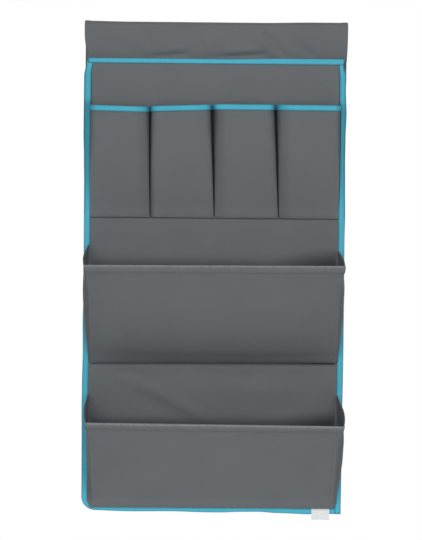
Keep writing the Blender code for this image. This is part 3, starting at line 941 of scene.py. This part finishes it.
def edge_tapes():
    """The tapes along the top, the right side, and the bottom and left side in one length."""
    top = TOP - 2 * TAPE - CLEAR
    bend = PANEL_TOP - TOP_CORNER_RUN
    steps = round((bend - BOTTOM) / PITCH)
    right = [(right_x(z), z) for z in spread(top, bend, 9)]
    right += [(right_x(z), z + foot_drift(PANEL_HALF, z)) for z in spread(bend, BOTTOM, steps)[1:]]
    left_top = top - traced(TOP_SAG, -PANEL_HALF)
    left_heights = spread(left_top, bend, 9) + spread(bend, corner_heights(1)[0], steps)[1:]
    left_heights += corner_heights(10)[1:]
    left = [(left_x(z), z + foot_drift(left_x(z), z)) for z in left_heights]
    end = right_x(BOTTOM) - 2 * MM
    across = spread(end, left[-1][0], round((end - left[-1][0]) / PITCH))
    bottom = [(x, PANEL_BOTTOM + foot_drift(x, PANEL_BOTTOM)) for x in across]
    ends = (left_x(PANEL_TOP) - CLEAR - TAPE, right_x(PANEL_TOP) + CLEAR + TAPE)
    top_path = [(x, PANEL_TOP) for x in spread(*ends, round((ends[1] - ends[0]) / PITCH))]
    lap = TAPE_WIDTH
    edge_tape("top", top_path, "top_binding", lap, lap)
    edge_tape("right", right, "right_binding", lap_end=lap, joint="pocket_4_fold")
    left_path = bottom[:-1] + list(reversed(left))
    edge_tape("left_and_bottom", left_path, "left_and_bottom_binding", joint="pocket_1_fold")


# Sleeve along the top

SLEEVE_FOLDS = fold_lines((
    ((-122, -57), (-58, -50), 6, -3.6),
    ((-110, -46), (-72, -42), 7, 1.8),
    ((2, -56), (90, -50), 6, -4.0),
    ((20, -45), (74, -42), 7, 2.4),
    ((96, -14), (131, -52), 7, -3.8),
    ((80, -16), (112, -48), 7, 2.6),
    ((157, -30), (182, -49), 8, -3.0),
    ((-24, -17), (-12, -40), 9, 1.4),
    ((-200, -28), (-150, -46), 10, -1.4),
    ((-150, -22), (-128, -44), 9, 1.2),
))
SLEEVE_WAVES = (0.5 * MM, 38 * MM, 6.3)
SLEEVE_BELLY = 3.2 * MM
SLEEVE_HANG_TOP = -2 * MM
LOOP_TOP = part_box("loop_tape")[1].z
FLAP_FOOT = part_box("sleeve_flap")[0].z
FLAP_DEPTH = FABRIC / 2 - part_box("sleeve_flap")[1].y
SLEEVE_FOOT_DEPTH = -(TAPE_FACE + CLEAR + FABRIC / 2)
SLEEVE_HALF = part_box("sleeve_flap")[1].x


def tangent_turn(depth, z, side):
    """The turn round the sleeve's axis where a straight run from (depth, z) meets its arc."""
    return math.atan2(z, depth) + side * math.acos(SLEEVE_RADIUS / math.hypot(depth, z))


def arc(start, end, steps):
    """Points (depth, z) round the sleeve's axis."""
    turns = spread(start, end, steps)
    return [Vector((SLEEVE_RADIUS * math.cos(a), SLEEVE_RADIUS * math.sin(a))) for a in turns]


def run_of(start, end, steps):
    """Points evenly spaced along a straight run."""
    return [start.lerp(end, i / steps) for i in range(steps + 1)]


def smooth_offset(points, index):
    """The outward direction, away from the sleeve's axis, at a point of its side view."""
    along = points[min(index + 1, len(points) - 1)] - points[max(index - 1, 0)]
    along.normalize()
    return Vector((along.y, -along.x))


def hemmed_sides(half):
    """Columns across a sheet with both its sides turned in and hemmed, as (x, offset)."""
    under = [(SIDE_HEM - SIDE_HEM * i / 3, SIDE_HEM_UNDER) for i in range(3)]
    radius = 0.5 * MM
    turn = []
    for a in spread(0, math.pi, 5):
        turn.append((-radius * math.sin(a), SIDE_HEM_UNDER + radius - radius * math.cos(a)))
    over = [(SIDE_HEM * share, SIDE_HEM_OVER) for share in (0.33, 0.66, 0.95)]
    down = [(SIDE_HEM + 1.5 * MM, 0.2 * MM), (SIDE_HEM + 3 * MM, 0.0)]
    side = [(-half + x, off) for x, off in under + turn + over + down]
    other = [(-x, off) for x, off in reversed(side)]
    start, end = side[-1][0], other[0][0]
    middle = spread(start, end, round((end - start) / PITCH))[1:-1]
    return side + flat(middle) + other


def sleeve_sheet(name, points, creased=False):
    """A length of the sleeve along points (depth, z), hemmed at both its sides."""
    columns = hemmed_sides(SLEEVE_HALF)
    count = len(points) - 1

    def surface(u, v):
        index = round(v * count)
        x, off = columns[round(u * (len(columns) - 1))]
        depth, z = points[index]
        lean = smooth_offset(points, index)
        foot = ease(-z, 15 * MM, -TOP) if creased else 0.0
        left, right = (a + b * foot for a, b in zip(SLEEVE_INSETS, SLEEVE_FOOT_INSETS))
        x += left * ease(-x, 0.0, SLEEVE_HALF) - right * ease(x, 0.0, SLEEVE_HALF)
        z -= traced(CROWN_SAG, x) * ease(z, -14 * MM, 8 * MM)
        if creased:
            room = ease(z, TOP, TOP + 6 * MM) * (1 - ease(z, -14 * MM, 0.0))
            lift = folds(x, z, SLEEVE_FOLDS) + waves(x, z, SLEEVE_WAVES)
            hang = clamp((z - TOP) / (SLEEVE_HANG_TOP - TOP))
            off += lift * room + SLEEVE_BELLY * math.sin(math.pi * hang**0.7)
        return Vector((x, -(depth + lean.x * off), z + lean.y * off))

    across, along = flat(spread(0, 1, len(columns) - 1)), flat(spread(0, 1, count))
    return cloth(name, surface, across, along, FABRIC)


def sleeve():
    """The sleeve's fixed front, its crest, and the flap at its back."""
    foot = Vector((SLEEVE_FOOT_DEPTH, TOP - SLEEVE_SEAM_ALLOWANCE))
    bend = Vector((SLEEVE_FOOT_DEPTH, TOP + CLEAR))
    front_turn = tangent_turn(bend.x, bend.y, 1)
    front_arc = arc(front_turn, math.pi / 2 - SLEEVE_CREST_HALF, 9)
    rise = run_of(bend, front_arc[0], 16)
    front = [foot, foot.lerp(bend, 0.5)] + rise + front_arc[1:]
    crest = arc(math.pi / 2 - SLEEVE_CREST_HALF, math.pi / 2 + SLEEVE_CREST_HALF, 14)
    back_turn = tangent_turn(FLAP_DEPTH, LOOP_TOP, -1) + 2 * math.pi
    rear_arc = arc(math.pi / 2 + SLEEVE_CREST_HALF, back_turn, 9)
    closed = Vector((FLAP_DEPTH, LOOP_TOP))
    hem = Vector((FLAP_DEPTH, FLAP_FOOT))
    rear = rear_arc + run_of(rear_arc[-1], closed, 14)[1:] + run_of(closed, hem, 8)[1:]

    top = sleeve_sheet("sleeve_front_cloth", front, True)
    dress(top, "grey_polyester", "panel", "sleeve_front")
    over = sleeve_sheet("sleeve_crest_cloth", crest)
    dress(over, "grey_polyester", None)
    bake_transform(over)
    flap = sleeve_sheet("sleeve_flap_cloth", rear)
    dress(flap, "grey_polyester", "flap", "sleeve_flap")

    out = FABRIC / 2 + THREAD_RADIUS / 3
    hem_line = SLEEVE_HALF - SIDE_HEM + STITCH_INSET

    def row(points, x):
        spots = []
        for index, (depth, z) in enumerate(points):
            lean = smooth_offset(points, index) * (out + SIDE_HEM_OVER)
            spots.append(Vector((x, -(depth + lean.x), z + lean.y)))
        return spots

    rows = [row(front[3:], x) for x in (-hem_line, hem_line)]
    stitches("sleeve_front_hem_stitches", rows, "grey_thread", "panel")
    flap_rows = [row(rear, x) for x in (-hem_line, hem_line)]
    low = closed.y - STITCH_INSET
    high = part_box("hook_tape")[0].z + STITCH_INSET
    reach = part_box("hook_tape")[1].x
    for z in (low, high):
        ends = [Vector((x, -(FLAP_DEPTH - out), z)) for x in spread(-reach, reach, 8)]
        flap_rows.append(ends)
    stitches("sleeve_flap_stitches", flap_rows, "grey_thread", "flap")
    declare(top)
    declare(over)
    declare(flap)


def closing_tapes():
    """The loop tape on the panel's back and the hook tape inside the flap."""
    for name, body in (("loop_tape", "panel"), ("hook_tape", "flap")):
        low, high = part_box(name)
        depth = -(low.y + high.y) / 2

        def surface(u, v, low=low, high=high, depth=depth):
            return Vector((mix(low.x, high.x, u), -depth, mix(low.z, high.z, v)))

        across, along = flat(spread(0, 1, 118)), flat(spread(0, 1, 6))
        obj = cloth(name + "_nap", surface, across, along, high.y - low.y, edge_width=MM)
        dress(obj, "black_nylon", body, name)
        if body == "panel":
            rows = []
            for z in (low.z + STITCH_INSET, high.z - STITCH_INSET):
                rows.append([Vector((x, high.y + SNUG / 2, z)) for x in (low.x + MM, high.x - MM)])
            stitches("loop_tape_stitches", rows, "grey_thread", body)


# Pockets


class Front:
    """The middle surface of a pocket's front, from its bottom seam up to its mouth.

    u runs across from one side edge to the other, and v along the cloth. edges(share) gives the left
    and right x at a share of the height, and bow(share) how far the front stands off its chord.
    lifts are how far its left and right bottom corners are drawn up.
    """

    lifts = (0.0, 0.0)

    def __init__(self, seam, length, angle, edges, bow, roll, dip, rises):
        self.seam, self.length, self.angle = seam, length, angle
        self.edges, self.bow, self.rises = edges, bow, rises
        self.roll, self.dip = roll, dip
        self.turned = math.pi * roll
        self.total = length - roll + self.turned
        self.hinge = Vector((0, -SEAM_DEPTH, seam))
        self.up_way = Vector((0, -math.sin(angle), math.cos(angle)))
        self.out_way = Vector((0, -math.cos(angle), -math.sin(angle)))

    def rise(self, v):
        """How far up the chord and out from it the cloth is, after its roll over the seam."""
        gone = v * self.total
        if gone < self.turned:
            turn = gone / self.roll
            up = self.roll * (1 - math.sin(turn)) * (1 - self.dip)
            up -= self.roll * math.sin(turn) * self.dip
            return up, self.roll * (1 - math.cos(turn))
        up = gone - self.turned + self.roll * (1 - self.dip)
        return up, 2 * self.roll * (1 - ease(up, self.roll, ROLL_FADE))

    def place(self, x, across, up, out):
        """The point so far up the chord and out from it, across being x as a share of the width."""
        share = clamp(up / self.length)
        up += mix(self.rises[0], self.rises[1], across) * MM * ease(share, 0.3, 1.0)
        up += mix(self.lifts[0], self.lifts[1], across) * MM * (1 - ease(share, 0.0, 0.2))
        return self.hinge + Vector((x, 0, 0)) + self.up_way * up + self.out_way * out


class SmallFront(Front):
    """A small pocket's front, whose sides curve back towards the slits.

    sides are how wide its left and right curves are, and corners their radii at the very edge.
    """

    def sink(self, share, side):
        """How far a side edge lies behind the front's middle."""
        depth = SLIT_EDGE_DEPTH + self.corners[side] if self.corners[side] else OUTER_EDGE_DEPTH
        return max(0.0, self.length * share * math.sin(self.angle) - depth) / math.cos(self.angle)

    def __call__(self, u, v):
        up, out = self.rise(v)
        share = clamp(up / self.length)
        left, right = self.edges(share)
        grown = mix(SIDE_AT_FOOT, 1.0, share)
        width = right - left
        shares = [side * grown / width for side in self.sides]
        parts = [side / width for side in self.sides]
        if u < parts[0]:
            turn = (1 - u / parts[0]) * math.pi / 2
            across, back = shares[0] * (1 - math.sin(turn)), self.sink(share, 0) * (1 - math.cos(turn))
        elif u > 1 - parts[1]:
            turn = (1 - (1 - u) / parts[1]) * math.pi / 2
            across = 1 - shares[1] * (1 - math.sin(turn))
            back = self.sink(share, 1) * (1 - math.cos(turn))
        else:
            inside = (u - parts[0]) / (1 - parts[0] - parts[1])
            across, back = mix(shares[0], 1 - shares[1], inside), 0.0
        for corner, gap in zip(self.corners, (across * width, (1 - across) * width)):
            corner *= grown
            if gap < corner:
                back += corner * (1 - math.sqrt(max(0.0, 1 - (1 - gap / corner) ** 2))) * share**0.5
        out += self.bow(share) * (1 - abs(2 * across - 1) ** 3) - back
        return self.place(mix(left, right, across), across, up, out)

    def columns(self):
        """Places across the front, close together round its curved sides."""
        left, right = self.edges(1.0)
        width = right - left
        a, b = self.sides[0] / width, 1 - self.sides[1] / width
        steps = [max(8, round(side / (0.7 * PITCH))) for side in self.sides]
        middle = spread(a, b, max(4, round((b - a) * width / PITCH)))
        return spread(0, a, steps[0])[:-1] + middle + spread(b, 1, steps[1])[1:]


class LargeFront(Front):
    """A large pocket's front, with a sewn ridge down both its side edges and a rim that leans back.

    lip is how far its rim leans back.
    """

    def __call__(self, u, v):
        up, out = self.rise(v)
        share = clamp(up / self.length)
        left, right = self.edges(share)
        quarter = LARGE_CORNER * math.pi / 2
        run = right - left - 2 * LARGE_CORNER + 2 * quarter
        side = min(u, 1 - u) * run
        x_in, back = LARGE_CORNER + side - quarter, 0.0
        if side < quarter:
            turn = (quarter - side) / LARGE_CORNER
            x_in = LARGE_CORNER * (1 - math.sin(turn))
            back = LARGE_CORNER * (1 - math.cos(turn))
        x = left + x_in if u < 0.5 else right - x_in
        across = clamp((x - left) / (right - left))
        out += self.bow(share) * (1 - 0.6 * abs(2 * across - 1) ** 2.5)
        out += RIDGE_RISE * math.exp(-(((x_in - RIDGE_INSET) / RIDGE_WIDTH) ** 2))
        rolled = max(0.0, 1 - (self.length - up) / LIP_RUN)
        out -= self.lip * rolled * rolled
        out -= back * ease(up, 0.0, 8 * MM)
        return self.place(x, across, up, out)

    def columns(self):
        """Places across the front, close together over its corners and ridges."""
        left, right = self.edges(1.0)
        width = right - left
        quarter = LARGE_CORNER * math.pi / 2
        run = width - 2 * LARGE_CORNER + 2 * quarter
        inner = quarter + 8 * MM
        side = [quarter * i / 4 / run for i in range(4)]
        side += [mix(quarter, inner, i / 10) / run for i in range(10)]
        middle = spread(inner / run, 1 - inner / run, round((run - 2 * inner) / PITCH))
        return side + middle + [1 - share for share in reversed(side)]


def front_rows(front):
    """Places along a pocket's front, close together round the roll at its bottom seam."""
    low = [front.turned * i / 6 / front.total for i in range(6)]
    start = front.turned / front.total
    return low + spread(start, 1.0, round((front.total - front.turned) / PITCH))


def pocket_front(name, front):
    """The cloth of a pocket's front."""
    obj = cloth(name + "_cloth", front, flat(front.columns()), flat(front_rows(front)), FABRIC)
    return dress(obj, "grey_polyester", name, name + "_front")


def small_pockets():
    """Four small pockets side by side, with narrow slits between them."""
    pitch = TAPE_INNER / 2 + DIVIDER_SPREAD
    outer = [TAPE_INNER - inset for inset in OUTER_INSETS]
    seams = [(i - 1) * pitch for i in range(3)]
    tops = [x + drift for x, drift in zip(seams, SLIT_DRIFTS)]
    for index in range(4):
        name = f"pocket_{index + 1}"
        sides = []
        for side, away in enumerate((1, -1)):
            slit = index - 1 + side
            if 0 <= slit < 3:
                foot = seams[slit] + away * DIVIDER_FOOT
                top = tops[slit] + away * SLIT_HALF_TOPS[slit]
                apex = (seams[slit] + away * SLIT_CLOSED, tops[slit] + away * SLIT_CLOSED)
            else:
                foot = -away * outer[side]
                top = -away * (outer[side] - OUTER_TOP_INSETS[side])
                apex = None
            sides.append((foot, top, apex))

        def edges(share, sides=sides):
            return [mix(foot, top, share) for foot, top, _ in sides]

        def bow(share):
            return SMALL_BELLY * 4 * share * (1 - share) * (1.3 - 0.6 * share)

        rises = MOUTH_RISES[index]
        front = SmallFront(SMALL_SEAM, SMALL_LENGTH, SMALL_OPEN, edges, bow, SMALL_ROLL, 0.0, rises)
        front.sides = SMALL_SIDES[index]
        front.corners = SLIT_CORNERS[index]
        sheet = pocket_front(name, front)
        tape, rows = mouth_tape(name, front)

        # Painted shade on the cloth beside the slits, and on the inner ends of pocket 1's and pocket 4's
        # mouth tapes.
        def grime(spot, edges=edges, reaches=front.sides, shade_ends=EDGE_PAINTED_SHADES[index]):
            share = clamp((spot.z - SMALL_SEAM) / (MOUTH - SMALL_SEAM))
            gaps = [abs(spot.x - edge) for edge in edges(share)]
            near = [max(0.0, 1 - gap / (PAINTED_SHADE_REACH * reach)) for gap, reach in zip(gaps, reaches)]
            return max(mix(*ends, share) * gap for ends, gap in zip(shade_ends, near) if ends)

        paint_shade(sheet, grime)
        if index in (0, 3):
            paint_shade(tape, grime)
        for piece in (sheet, tape, rows):
            press(piece)
        walls = [small_wall(name, side, sides[side][0], front, sides[side][2]) for side in (0, 1)]
        declare(sheet)
        for wall in walls:
            declare(wall)
    rows = []
    for x in seams:
        depth = PANEL / 2 + THREAD_RADIUS / 3
        rows.append([Vector((x, -depth, z)) for z in spread(SMALL_SEAM, MOUTH, 20)])
    nodes = [f"divider_stitching_{i + 1}" for i in range(3)]
    stitches("divider_stitches", rows, "blue_thread", "panel", *nodes)


def press(piece):
    """Gives a front, or a piece sewn to it, its own copy of its mesh."""
    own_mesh(piece)


def tape_rows(total):
    """Rows of the tape over a small pocket's mouth, as shares of the cloth's length."""
    off = FABRIC / 2 + CLEAR + TAPE / 2
    leg = SMALL_TAPE_WIDTH - TAPE - CLEAR
    return [(gone / total, side) for gone, side in fold_over(total - CLEAR, off, -off, leg)]


def mouth_tape(name, front):
    """The tape over a small pocket's mouth, round both its curved sides, and its stitching."""
    places = front.columns()
    rows = tape_rows(front.total)
    obj = cloth(name + "_mouth_tape", front, flat(places), rows, TAPE, 1, TAPE_RIM_SHADE_WIDTH, "du", FOLD_ROW)
    dress(obj, "blue_tape", name, name + "_tape")
    v = 1 - (SMALL_TAPE_WIDTH - TAPE - CLEAR - STITCH_INSET) / front.total
    off = FABRIC / 2 + CLEAR + TAPE + THREAD_RADIUS / 3
    routes = []
    for side in (1, -1):
        routes.append([front(u, v) + outward(front, u, v) * off * side for u in places[1:-1]])
    row = stitches(name + "_mouth_stitches", routes, "blue_thread", name, name + "_tape_stitching")
    return obj, row


def small_wall(name, side, foot_x, front, apex):
    """A small pocket's side wall, from the panel to the front's side edge.

    apex gives the x, at the seam and at the mouth, to which the wall runs along the panel before it
    turns forward, so that it nearly meets its neighbour there.
    """
    word = ("left", "right")[side]
    low = 0.03

    def surface(u, v):
        share = mix(low, 1.0, v)
        edge = front(float(side), share)
        foot = Vector((foot_x, -(PANEL / 2 + CLEAR), edge.z))
        spot = foot.lerp(edge, u)
        if apex:
            turned = mix(apex[0], apex[1], share)
            spot.x = mix(foot_x, turned, ease(u, 0.0, SLIT_TURN))
            spot.x += (edge.x - turned) * max(0.0, (u - SLIT_TURN) / (1 - SLIT_TURN))
        return spot

    rows = spread(0, 1, round(SMALL_LENGTH / (1.5 * PITCH)))
    obj = cloth(f"{name}_{word}_wall_cloth", surface, flat(spread(0, 1, 10)), flat(rows), FABRIC)
    dress(obj, "grey_polyester", "panel", f"{name}_{word}_wall")
    along = [((v - low) / (1 - low), off) for v, off in tape_rows(front.total)]
    across = flat(spread(WALL_TAPE_START, 1, 9))
    tape = cloth(f"{name}_{word}_wall_tape", surface, across, along, TAPE, edge_width=TAPE_RIM_SHADE_WIDTH)
    dress(tape, "blue_tape", "panel")
    # Painted shade: a wall inside a slit and its tape are darkened; the outer walls are not.
    for piece, amount in ((obj, SLIT_PAINTED_SHADE), (tape, SLIT_TAPE_PAINTED_SHADE)):
        if apex:
            paint_shade(piece, amount)
        flatten(piece)
    return obj


def flatten(piece):
    """Gives a wall or a gusset its own copy of its mesh."""
    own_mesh(piece)


LARGE_POCKETS = {
    "upper_pocket": {
        "seam": UPPER_SEAM,
        "length": 208.9 * MM,
        "angle": math.radians(26.9),
        "sides": (-233.5 * MM, 235.0 * MM),
        "flares": (6.2 * MM, 6.6 * MM),
        "bow": (26 * MM, 70 * MM),
        "lip": 6.0 * MM,
        "roll": 1.1 * MM,
        "dip": 0.0,
        "rises": (-2.2, 0.3),
        "lifts": (2.8, 7.6),
        "gusset_heights": (228 * MM, 221 * MM),
        "feet": (9.5 * MM, 11.5 * MM),
        "bulges": (10 * MM, 9.5 * MM),
        "top_bulges": (0.5, 0.3),
        "foot_flares": (0.0, 0.0),
        "pressed": 0.35,
    },
    "lower_pocket": {
        "seam": LOWER_SEAM,
        "length": 195.7 * MM,
        "angle": math.radians(31.7),
        "sides": (-228.3 * MM, 231.8 * MM),
        "flares": (6.5 * MM, 10.3 * MM),
        "bow": (28 * MM, 4 * MM),
        "lip": 4.5 * MM,
        "roll": 2.0 * MM,
        "dip": 0.9,
        "rises": (3.6, 0.0),
        "lifts": (-1.2, 0.4),
        "gusset_heights": (215 * MM, 215 * MM),
        "feet": (11 * MM, 11.5 * MM),
        "bulges": (4.5 * MM, 12.5 * MM),
        "top_bulges": (0.9, 0.45),
        "foot_flares": (5 * MM, 0.0),
        "pressed": 1.0,
    },
}
HEM_FRONT = FABRIC + SNUG
HEM_BACK = -(FABRIC + 2 * SNUG + STRIP)
GUSSET_FLANGE = 3.5 * MM
GUSSET_FULLEST = 0.7
GUSSET_WAVER = 0.8 * MM
HEM_WAVER = 0.9 * MM
HEM_WAVES = 11
HEM_SEED = 40
STRIP_INSET = 0.012
SIDE_SEAM_START = 0.02
SIDE_SEAM_COLUMN = 12


def large_front(facts):
    """The surface of a large pocket's front, whose top corners flare outwards."""
    left, right = facts["sides"]

    def edges(share):
        flare = max(0.0, (share - FLARE_START) / (1 - FLARE_START)) ** 1.5
        foot = max(0.0, 1 - share / FOOT_FLARE_RUN) ** 2
        outward = [facts["flares"][side] * flare + facts["foot_flares"][side] * foot for side in (0, 1)]
        return left - outward[0], right + outward[1]

    def bow(share):
        full, low = facts["bow"]
        return share * (1 - share) * (full + low * (1 - share))

    seam, length, angle, roll, dip, rises = [
        facts[key] for key in ("seam", "length", "angle", "roll", "dip", "rises")
    ]
    front = LargeFront(seam, length, angle, edges, bow, roll, dip, rises)
    front.lip = facts["lip"]
    front.lifts = facts["lifts"]
    return front


def large_pocket(name, facts):
    """A large pocket: its front, hem, stiff strip, gussets and stitching."""
    front = large_front(facts)
    total = front.total
    sheet = pocket_front(name, front)

    def hem_surface(u, v):
        below = max(0.0, (1 - v) * total / HEM_WIDTH)
        waver = HEM_WAVER * noise.noise(Vector((u * HEM_WAVES, facts["seam"] * HEM_SEED, 0.5))) / total
        return front(u, v - waver * below)

    leg = HEM_WIDTH - FABRIC
    rows = [(gone / total, off) for gone, off in fold_over(total - CLEAR, HEM_FRONT, HEM_BACK, leg)]
    across = front.columns()
    # The hem's rim measure peaks at the end of its front leg, where its finish paints a highlight.
    hem = cloth(
        name + "_hem_cloth", hem_surface, flat(across), rows, FABRIC, 1, HEM_HIGHLIGHT_WIDTH, "", LEG_ROW
    )
    dress(hem, "worn_hem", name, name + "_hem")
    strip_off = -(FABRIC / 2 + SNUG + STRIP / 2)
    strip_rows = [((total - RIM_WIDTH * share) / total, strip_off) for share in (1.0, 0.66, 0.33, 0.04)]
    inner = [u for u in across if STRIP_INSET < u < 1 - STRIP_INSET]
    strip = cloth(name + "_strip", front, flat(inner), strip_rows, STRIP)
    dress(strip, "clear_strip", name, name + "_rim_strip")
    v = 1 - (leg - STITCH_INSET) / total
    off = HEM_FRONT + FABRIC / 2 + THREAD_RADIUS / 3
    row = [hem_surface(u, v) + outward(front, u, v) * off for u in across]
    hem_row = stitches(name + "_hem_stitches", [row], "grey_thread", name, name + "_hem_stitching")
    seams = []
    for side in (0, 1):
        u = (across[SIDE_SEAM_COLUMN], across[-1 - SIDE_SEAM_COLUMN])[side]
        low = front.turned / total + SIDE_SEAM_START
        off = FABRIC / 2 + THREAD_RADIUS / 3
        run = spread(low, 1 - HEM_WIDTH / total, 60)
        seams.append([front(u, share) + outward(front, u, share) * off for share in run])
    side_rows = stitches(name + "_side_stitches", seams, "grey_thread", name)
    if facts["pressed"] < 1:
        for piece in (sheet, hem, strip, hem_row, side_rows):
            press(piece)
    gussets = [gusset(name, side, facts, front) for side in (0, 1)]
    declare(sheet)
    for piece in gussets:
        declare(piece)


def gusset(name, side, facts, front):
    """A large pocket's gusset, sewn over the edge tape and to the front's side edge."""
    word = ("left", "right")[side]
    sign = (-1, 1)[side]
    height = facts["gusset_heights"][side]
    low = 0.035
    depth = TAPE_FACE + 2 * THREAD_RADIUS + CLEAR
    flange = 0.08

    def surface(u, v):
        share = mix(low, 1.0, v)
        edge = front(float(side), share)
        foot_in = mix(GUSSET_SEAM_FOOT, facts["feet"][side], share)
        foot = Vector((sign * (EDGE_HALF - foot_in), -depth, facts["seam"] + share * height))
        if u < flange:
            foot.x -= sign * GUSSET_FLANGE * (1 - u / flange)
            return foot
        along = (u - flange) / (1 - flange)
        spot = foot.lerp(edge, along)
        full = math.sin(math.pi / 2 * min(share / GUSSET_FULLEST, 1.0))
        full *= mix(1.0, facts["top_bulges"][side], ease(share, GUSSET_FULLEST, 1.0))
        spot.x += sign * facts["bulges"][side] * full * math.sin(math.pi * along**1.2)
        waver = wave(along * 90 * MM, spot.z, 30 * MM, 4.4 + side)
        spot.x += sign * GUSSET_WAVER * waver * math.sin(math.pi * along)
        return spot

    radius = 0.5 * MM
    hem = GUSSET_HEM / height
    rows = flat(spread(0, 1 - radius / height, round(height / PITCH)))
    for turn in spread(0, math.pi, 6)[1:]:
        rows.append((1 + (radius * math.sin(turn) - radius) / height, radius * math.cos(turn) - radius))
    rows += [(1 - radius / height - hem * share, -2 * radius) for share in (0.33, 0.66, 1.0)]
    face = 1 if side == 0 else -1
    columns = flat([0.0, flange / 2] + spread(flange, 1, 24))
    obj = cloth(f"{name}_{word}_gusset_cloth", surface, columns, rows, FABRIC, face)
    dress(obj, "grey_polyester", "panel", f"{name}_{word}_gusset")
    flatten(obj)
    return obj


def bottom_seams():
    """The stitching just under the small pockets' and the upper pocket's bottom seams."""
    for name, seam, finish in (
        ("small_pockets", SMALL_SEAM, "blue_thread"),
        ("upper_pocket", UPPER_SEAM, "grey_thread"),
    ):
        low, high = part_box(name + "_bottom_stitching")
        z = seam - STITCHES_BELOW
        depth = PANEL / 2 + THREAD_RADIUS / 3
        row = [Vector((x, -depth, z)) for x in spread(low.x, high.x, 40)]
        stitches(name + "_seam_stitches", [row], finish, "panel", name + "_bottom_stitching")


def care_label():
    """A bare white label, a little curled, sewn to the bottom tape by its top edge."""
    low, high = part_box("care_label")
    depth = -(low.y + high.y) / 2

    def surface(u, v):
        drop = (1 - v) ** 2
        curl = drop * (LABEL_CURL + LABEL_CUP * (2 * u - 1) ** 2)
        return Vector((mix(low.x, high.x, u), -depth - curl, mix(low.z, high.z, v)))

    rows = flat(spread(0, 1, 12))
    obj = cloth("care_label_cloth", surface, flat(spread(0, 1, 16)), rows, LABEL, edge_width=MM)
    dress(obj, "white_label", "label", "care_label")
    z = high.z - STITCH_INSET
    face = depth + LABEL / 2 + THREAD_RADIUS / 3
    row = [Vector((x, -face, z)) for x in (low.x + 1.5 * MM, high.x - 1.5 * MM)]
    stitches("care_label_stitches", [row], "grey_thread", "label")
    declare(obj)


# Setting


def camera():
    """The photograph's view, 422 by 540 pixels, with the long side on the sensor's width."""
    data = bpy.data.cameras.new("camera")
    data.sensor_width = 36.0
    data.lens = 80.67
    data.clip_start = 0.05
    data.clip_end = 50.0
    obj = placed("camera", data)
    aim = Matrix.Rotation(-0.0045, 4, "Z") @ Matrix.Rotation(-0.0048, 4, "X")
    aim = aim @ Matrix.Rotation(-0.0092, 4, "Y") @ Matrix.Rotation(math.pi / 2, 4, "X")
    obj.matrix_world = Matrix.Translation(Vector((-15.76, -2319.3, -451.87)) * MM) @ aim
    bpy.context.scene.camera = obj


def lamp(name, place, target, size, power):
    """A soft rectangular light aimed at a point."""
    data = bpy.data.lights.new(name, "AREA")
    data.shape = "RECTANGLE"
    data.size, data.size_y = size
    data.energy = power
    obj = placed(name, data)
    obj.location = place
    aim = Vector(target) - Vector(place)
    obj.rotation_euler = aim.to_track_quat("-Z", "Y").to_euler()


def surroundings():
    """A plain pale floor below the object, a white room for the camera, and plain soft light."""
    shape = bmesh.new()
    bmesh.ops.create_circle(shape, cap_ends=True, segments=96, radius=1.7)
    bmesh.ops.translate(shape, vec=(0, -0.2, -1.35), verts=shape.verts)
    floor = placed("floor", built("floor", shape))
    pale = bpy.data.materials.new("Pale floor")
    pale.use_nodes = True
    shader = pale.node_tree.nodes["Principled BSDF"].inputs
    shader["Base Color"].default_value = (0.86, 0.86, 0.86, 1)
    shader["Roughness"].default_value = 0.9
    floor.data.materials.append(pale)

    world = bpy.data.worlds.new("Soft room")
    bpy.context.scene.world = world
    world.use_nodes = True
    tree = world.node_tree
    ambient = tree.nodes["Background"]
    ambient.inputs["Color"].default_value = (1, 1, 1, 1)
    ambient.inputs["Strength"].default_value = 0.06
    white = put(tree, "ShaderNodeBackground", {"Color": (1, 1, 1, 1), "Strength": 1.0})
    rays = put(tree, "ShaderNodeLightPath")
    seen = calc(tree, "ADD", rays.outputs["Is Camera Ray"], rays.outputs["Is Glossy Ray"])
    seen = calc(tree, "ADD", seen, rays.outputs["Is Transmission Ray"])
    seen = put(tree, "ShaderNodeClamp", {"Value": seen}).outputs[0]
    both = put(tree, "ShaderNodeMixShader", {0: seen})
    tree.links.new(ambient.outputs[0], both.inputs[1])
    tree.links.new(white.outputs[0], both.inputs[2])
    tree.links.new(both.outputs[0], tree.nodes["World Output"].inputs["Surface"])

    middle = (0, 0, -0.45)
    lamp("near_left_box", (-0.8, -1.6, -0.5), (0, 0, -0.55), (0.7, 0.9), 5.6)
    lamp("near_right_box", (0.8, -1.6, -0.5), (0, 0, -0.55), (0.7, 0.9), 5.2)
    lamp("upper_box", (0, -1.7, 0.75), middle, (1.8, 0.8), 16.7)
    lamp("high_box", (0, -3.0, 1.6), (0, 0, -0.6), (2.0, 1.2), 18.5)
    lamp("low_bounce", (0, -0.2, -1.12), (0, -0.18, -0.6), (1.0, 0.3), 0.65)
    lamp("rear_box", (1.0, 2.4, 0.4), middle, (1.8, 1.6), 25)


camera()
panel = back_panel()
edge_tapes()
sleeve()
closing_tapes()
small_pockets()
for pocket_name, pocket_facts in LARGE_POCKETS.items():
    large_pocket(pocket_name, pocket_facts)
bottom_seams()
care_label()
declare(panel)
surroundings()
bpy.context.scene.view_settings.view_transform = "Standard"
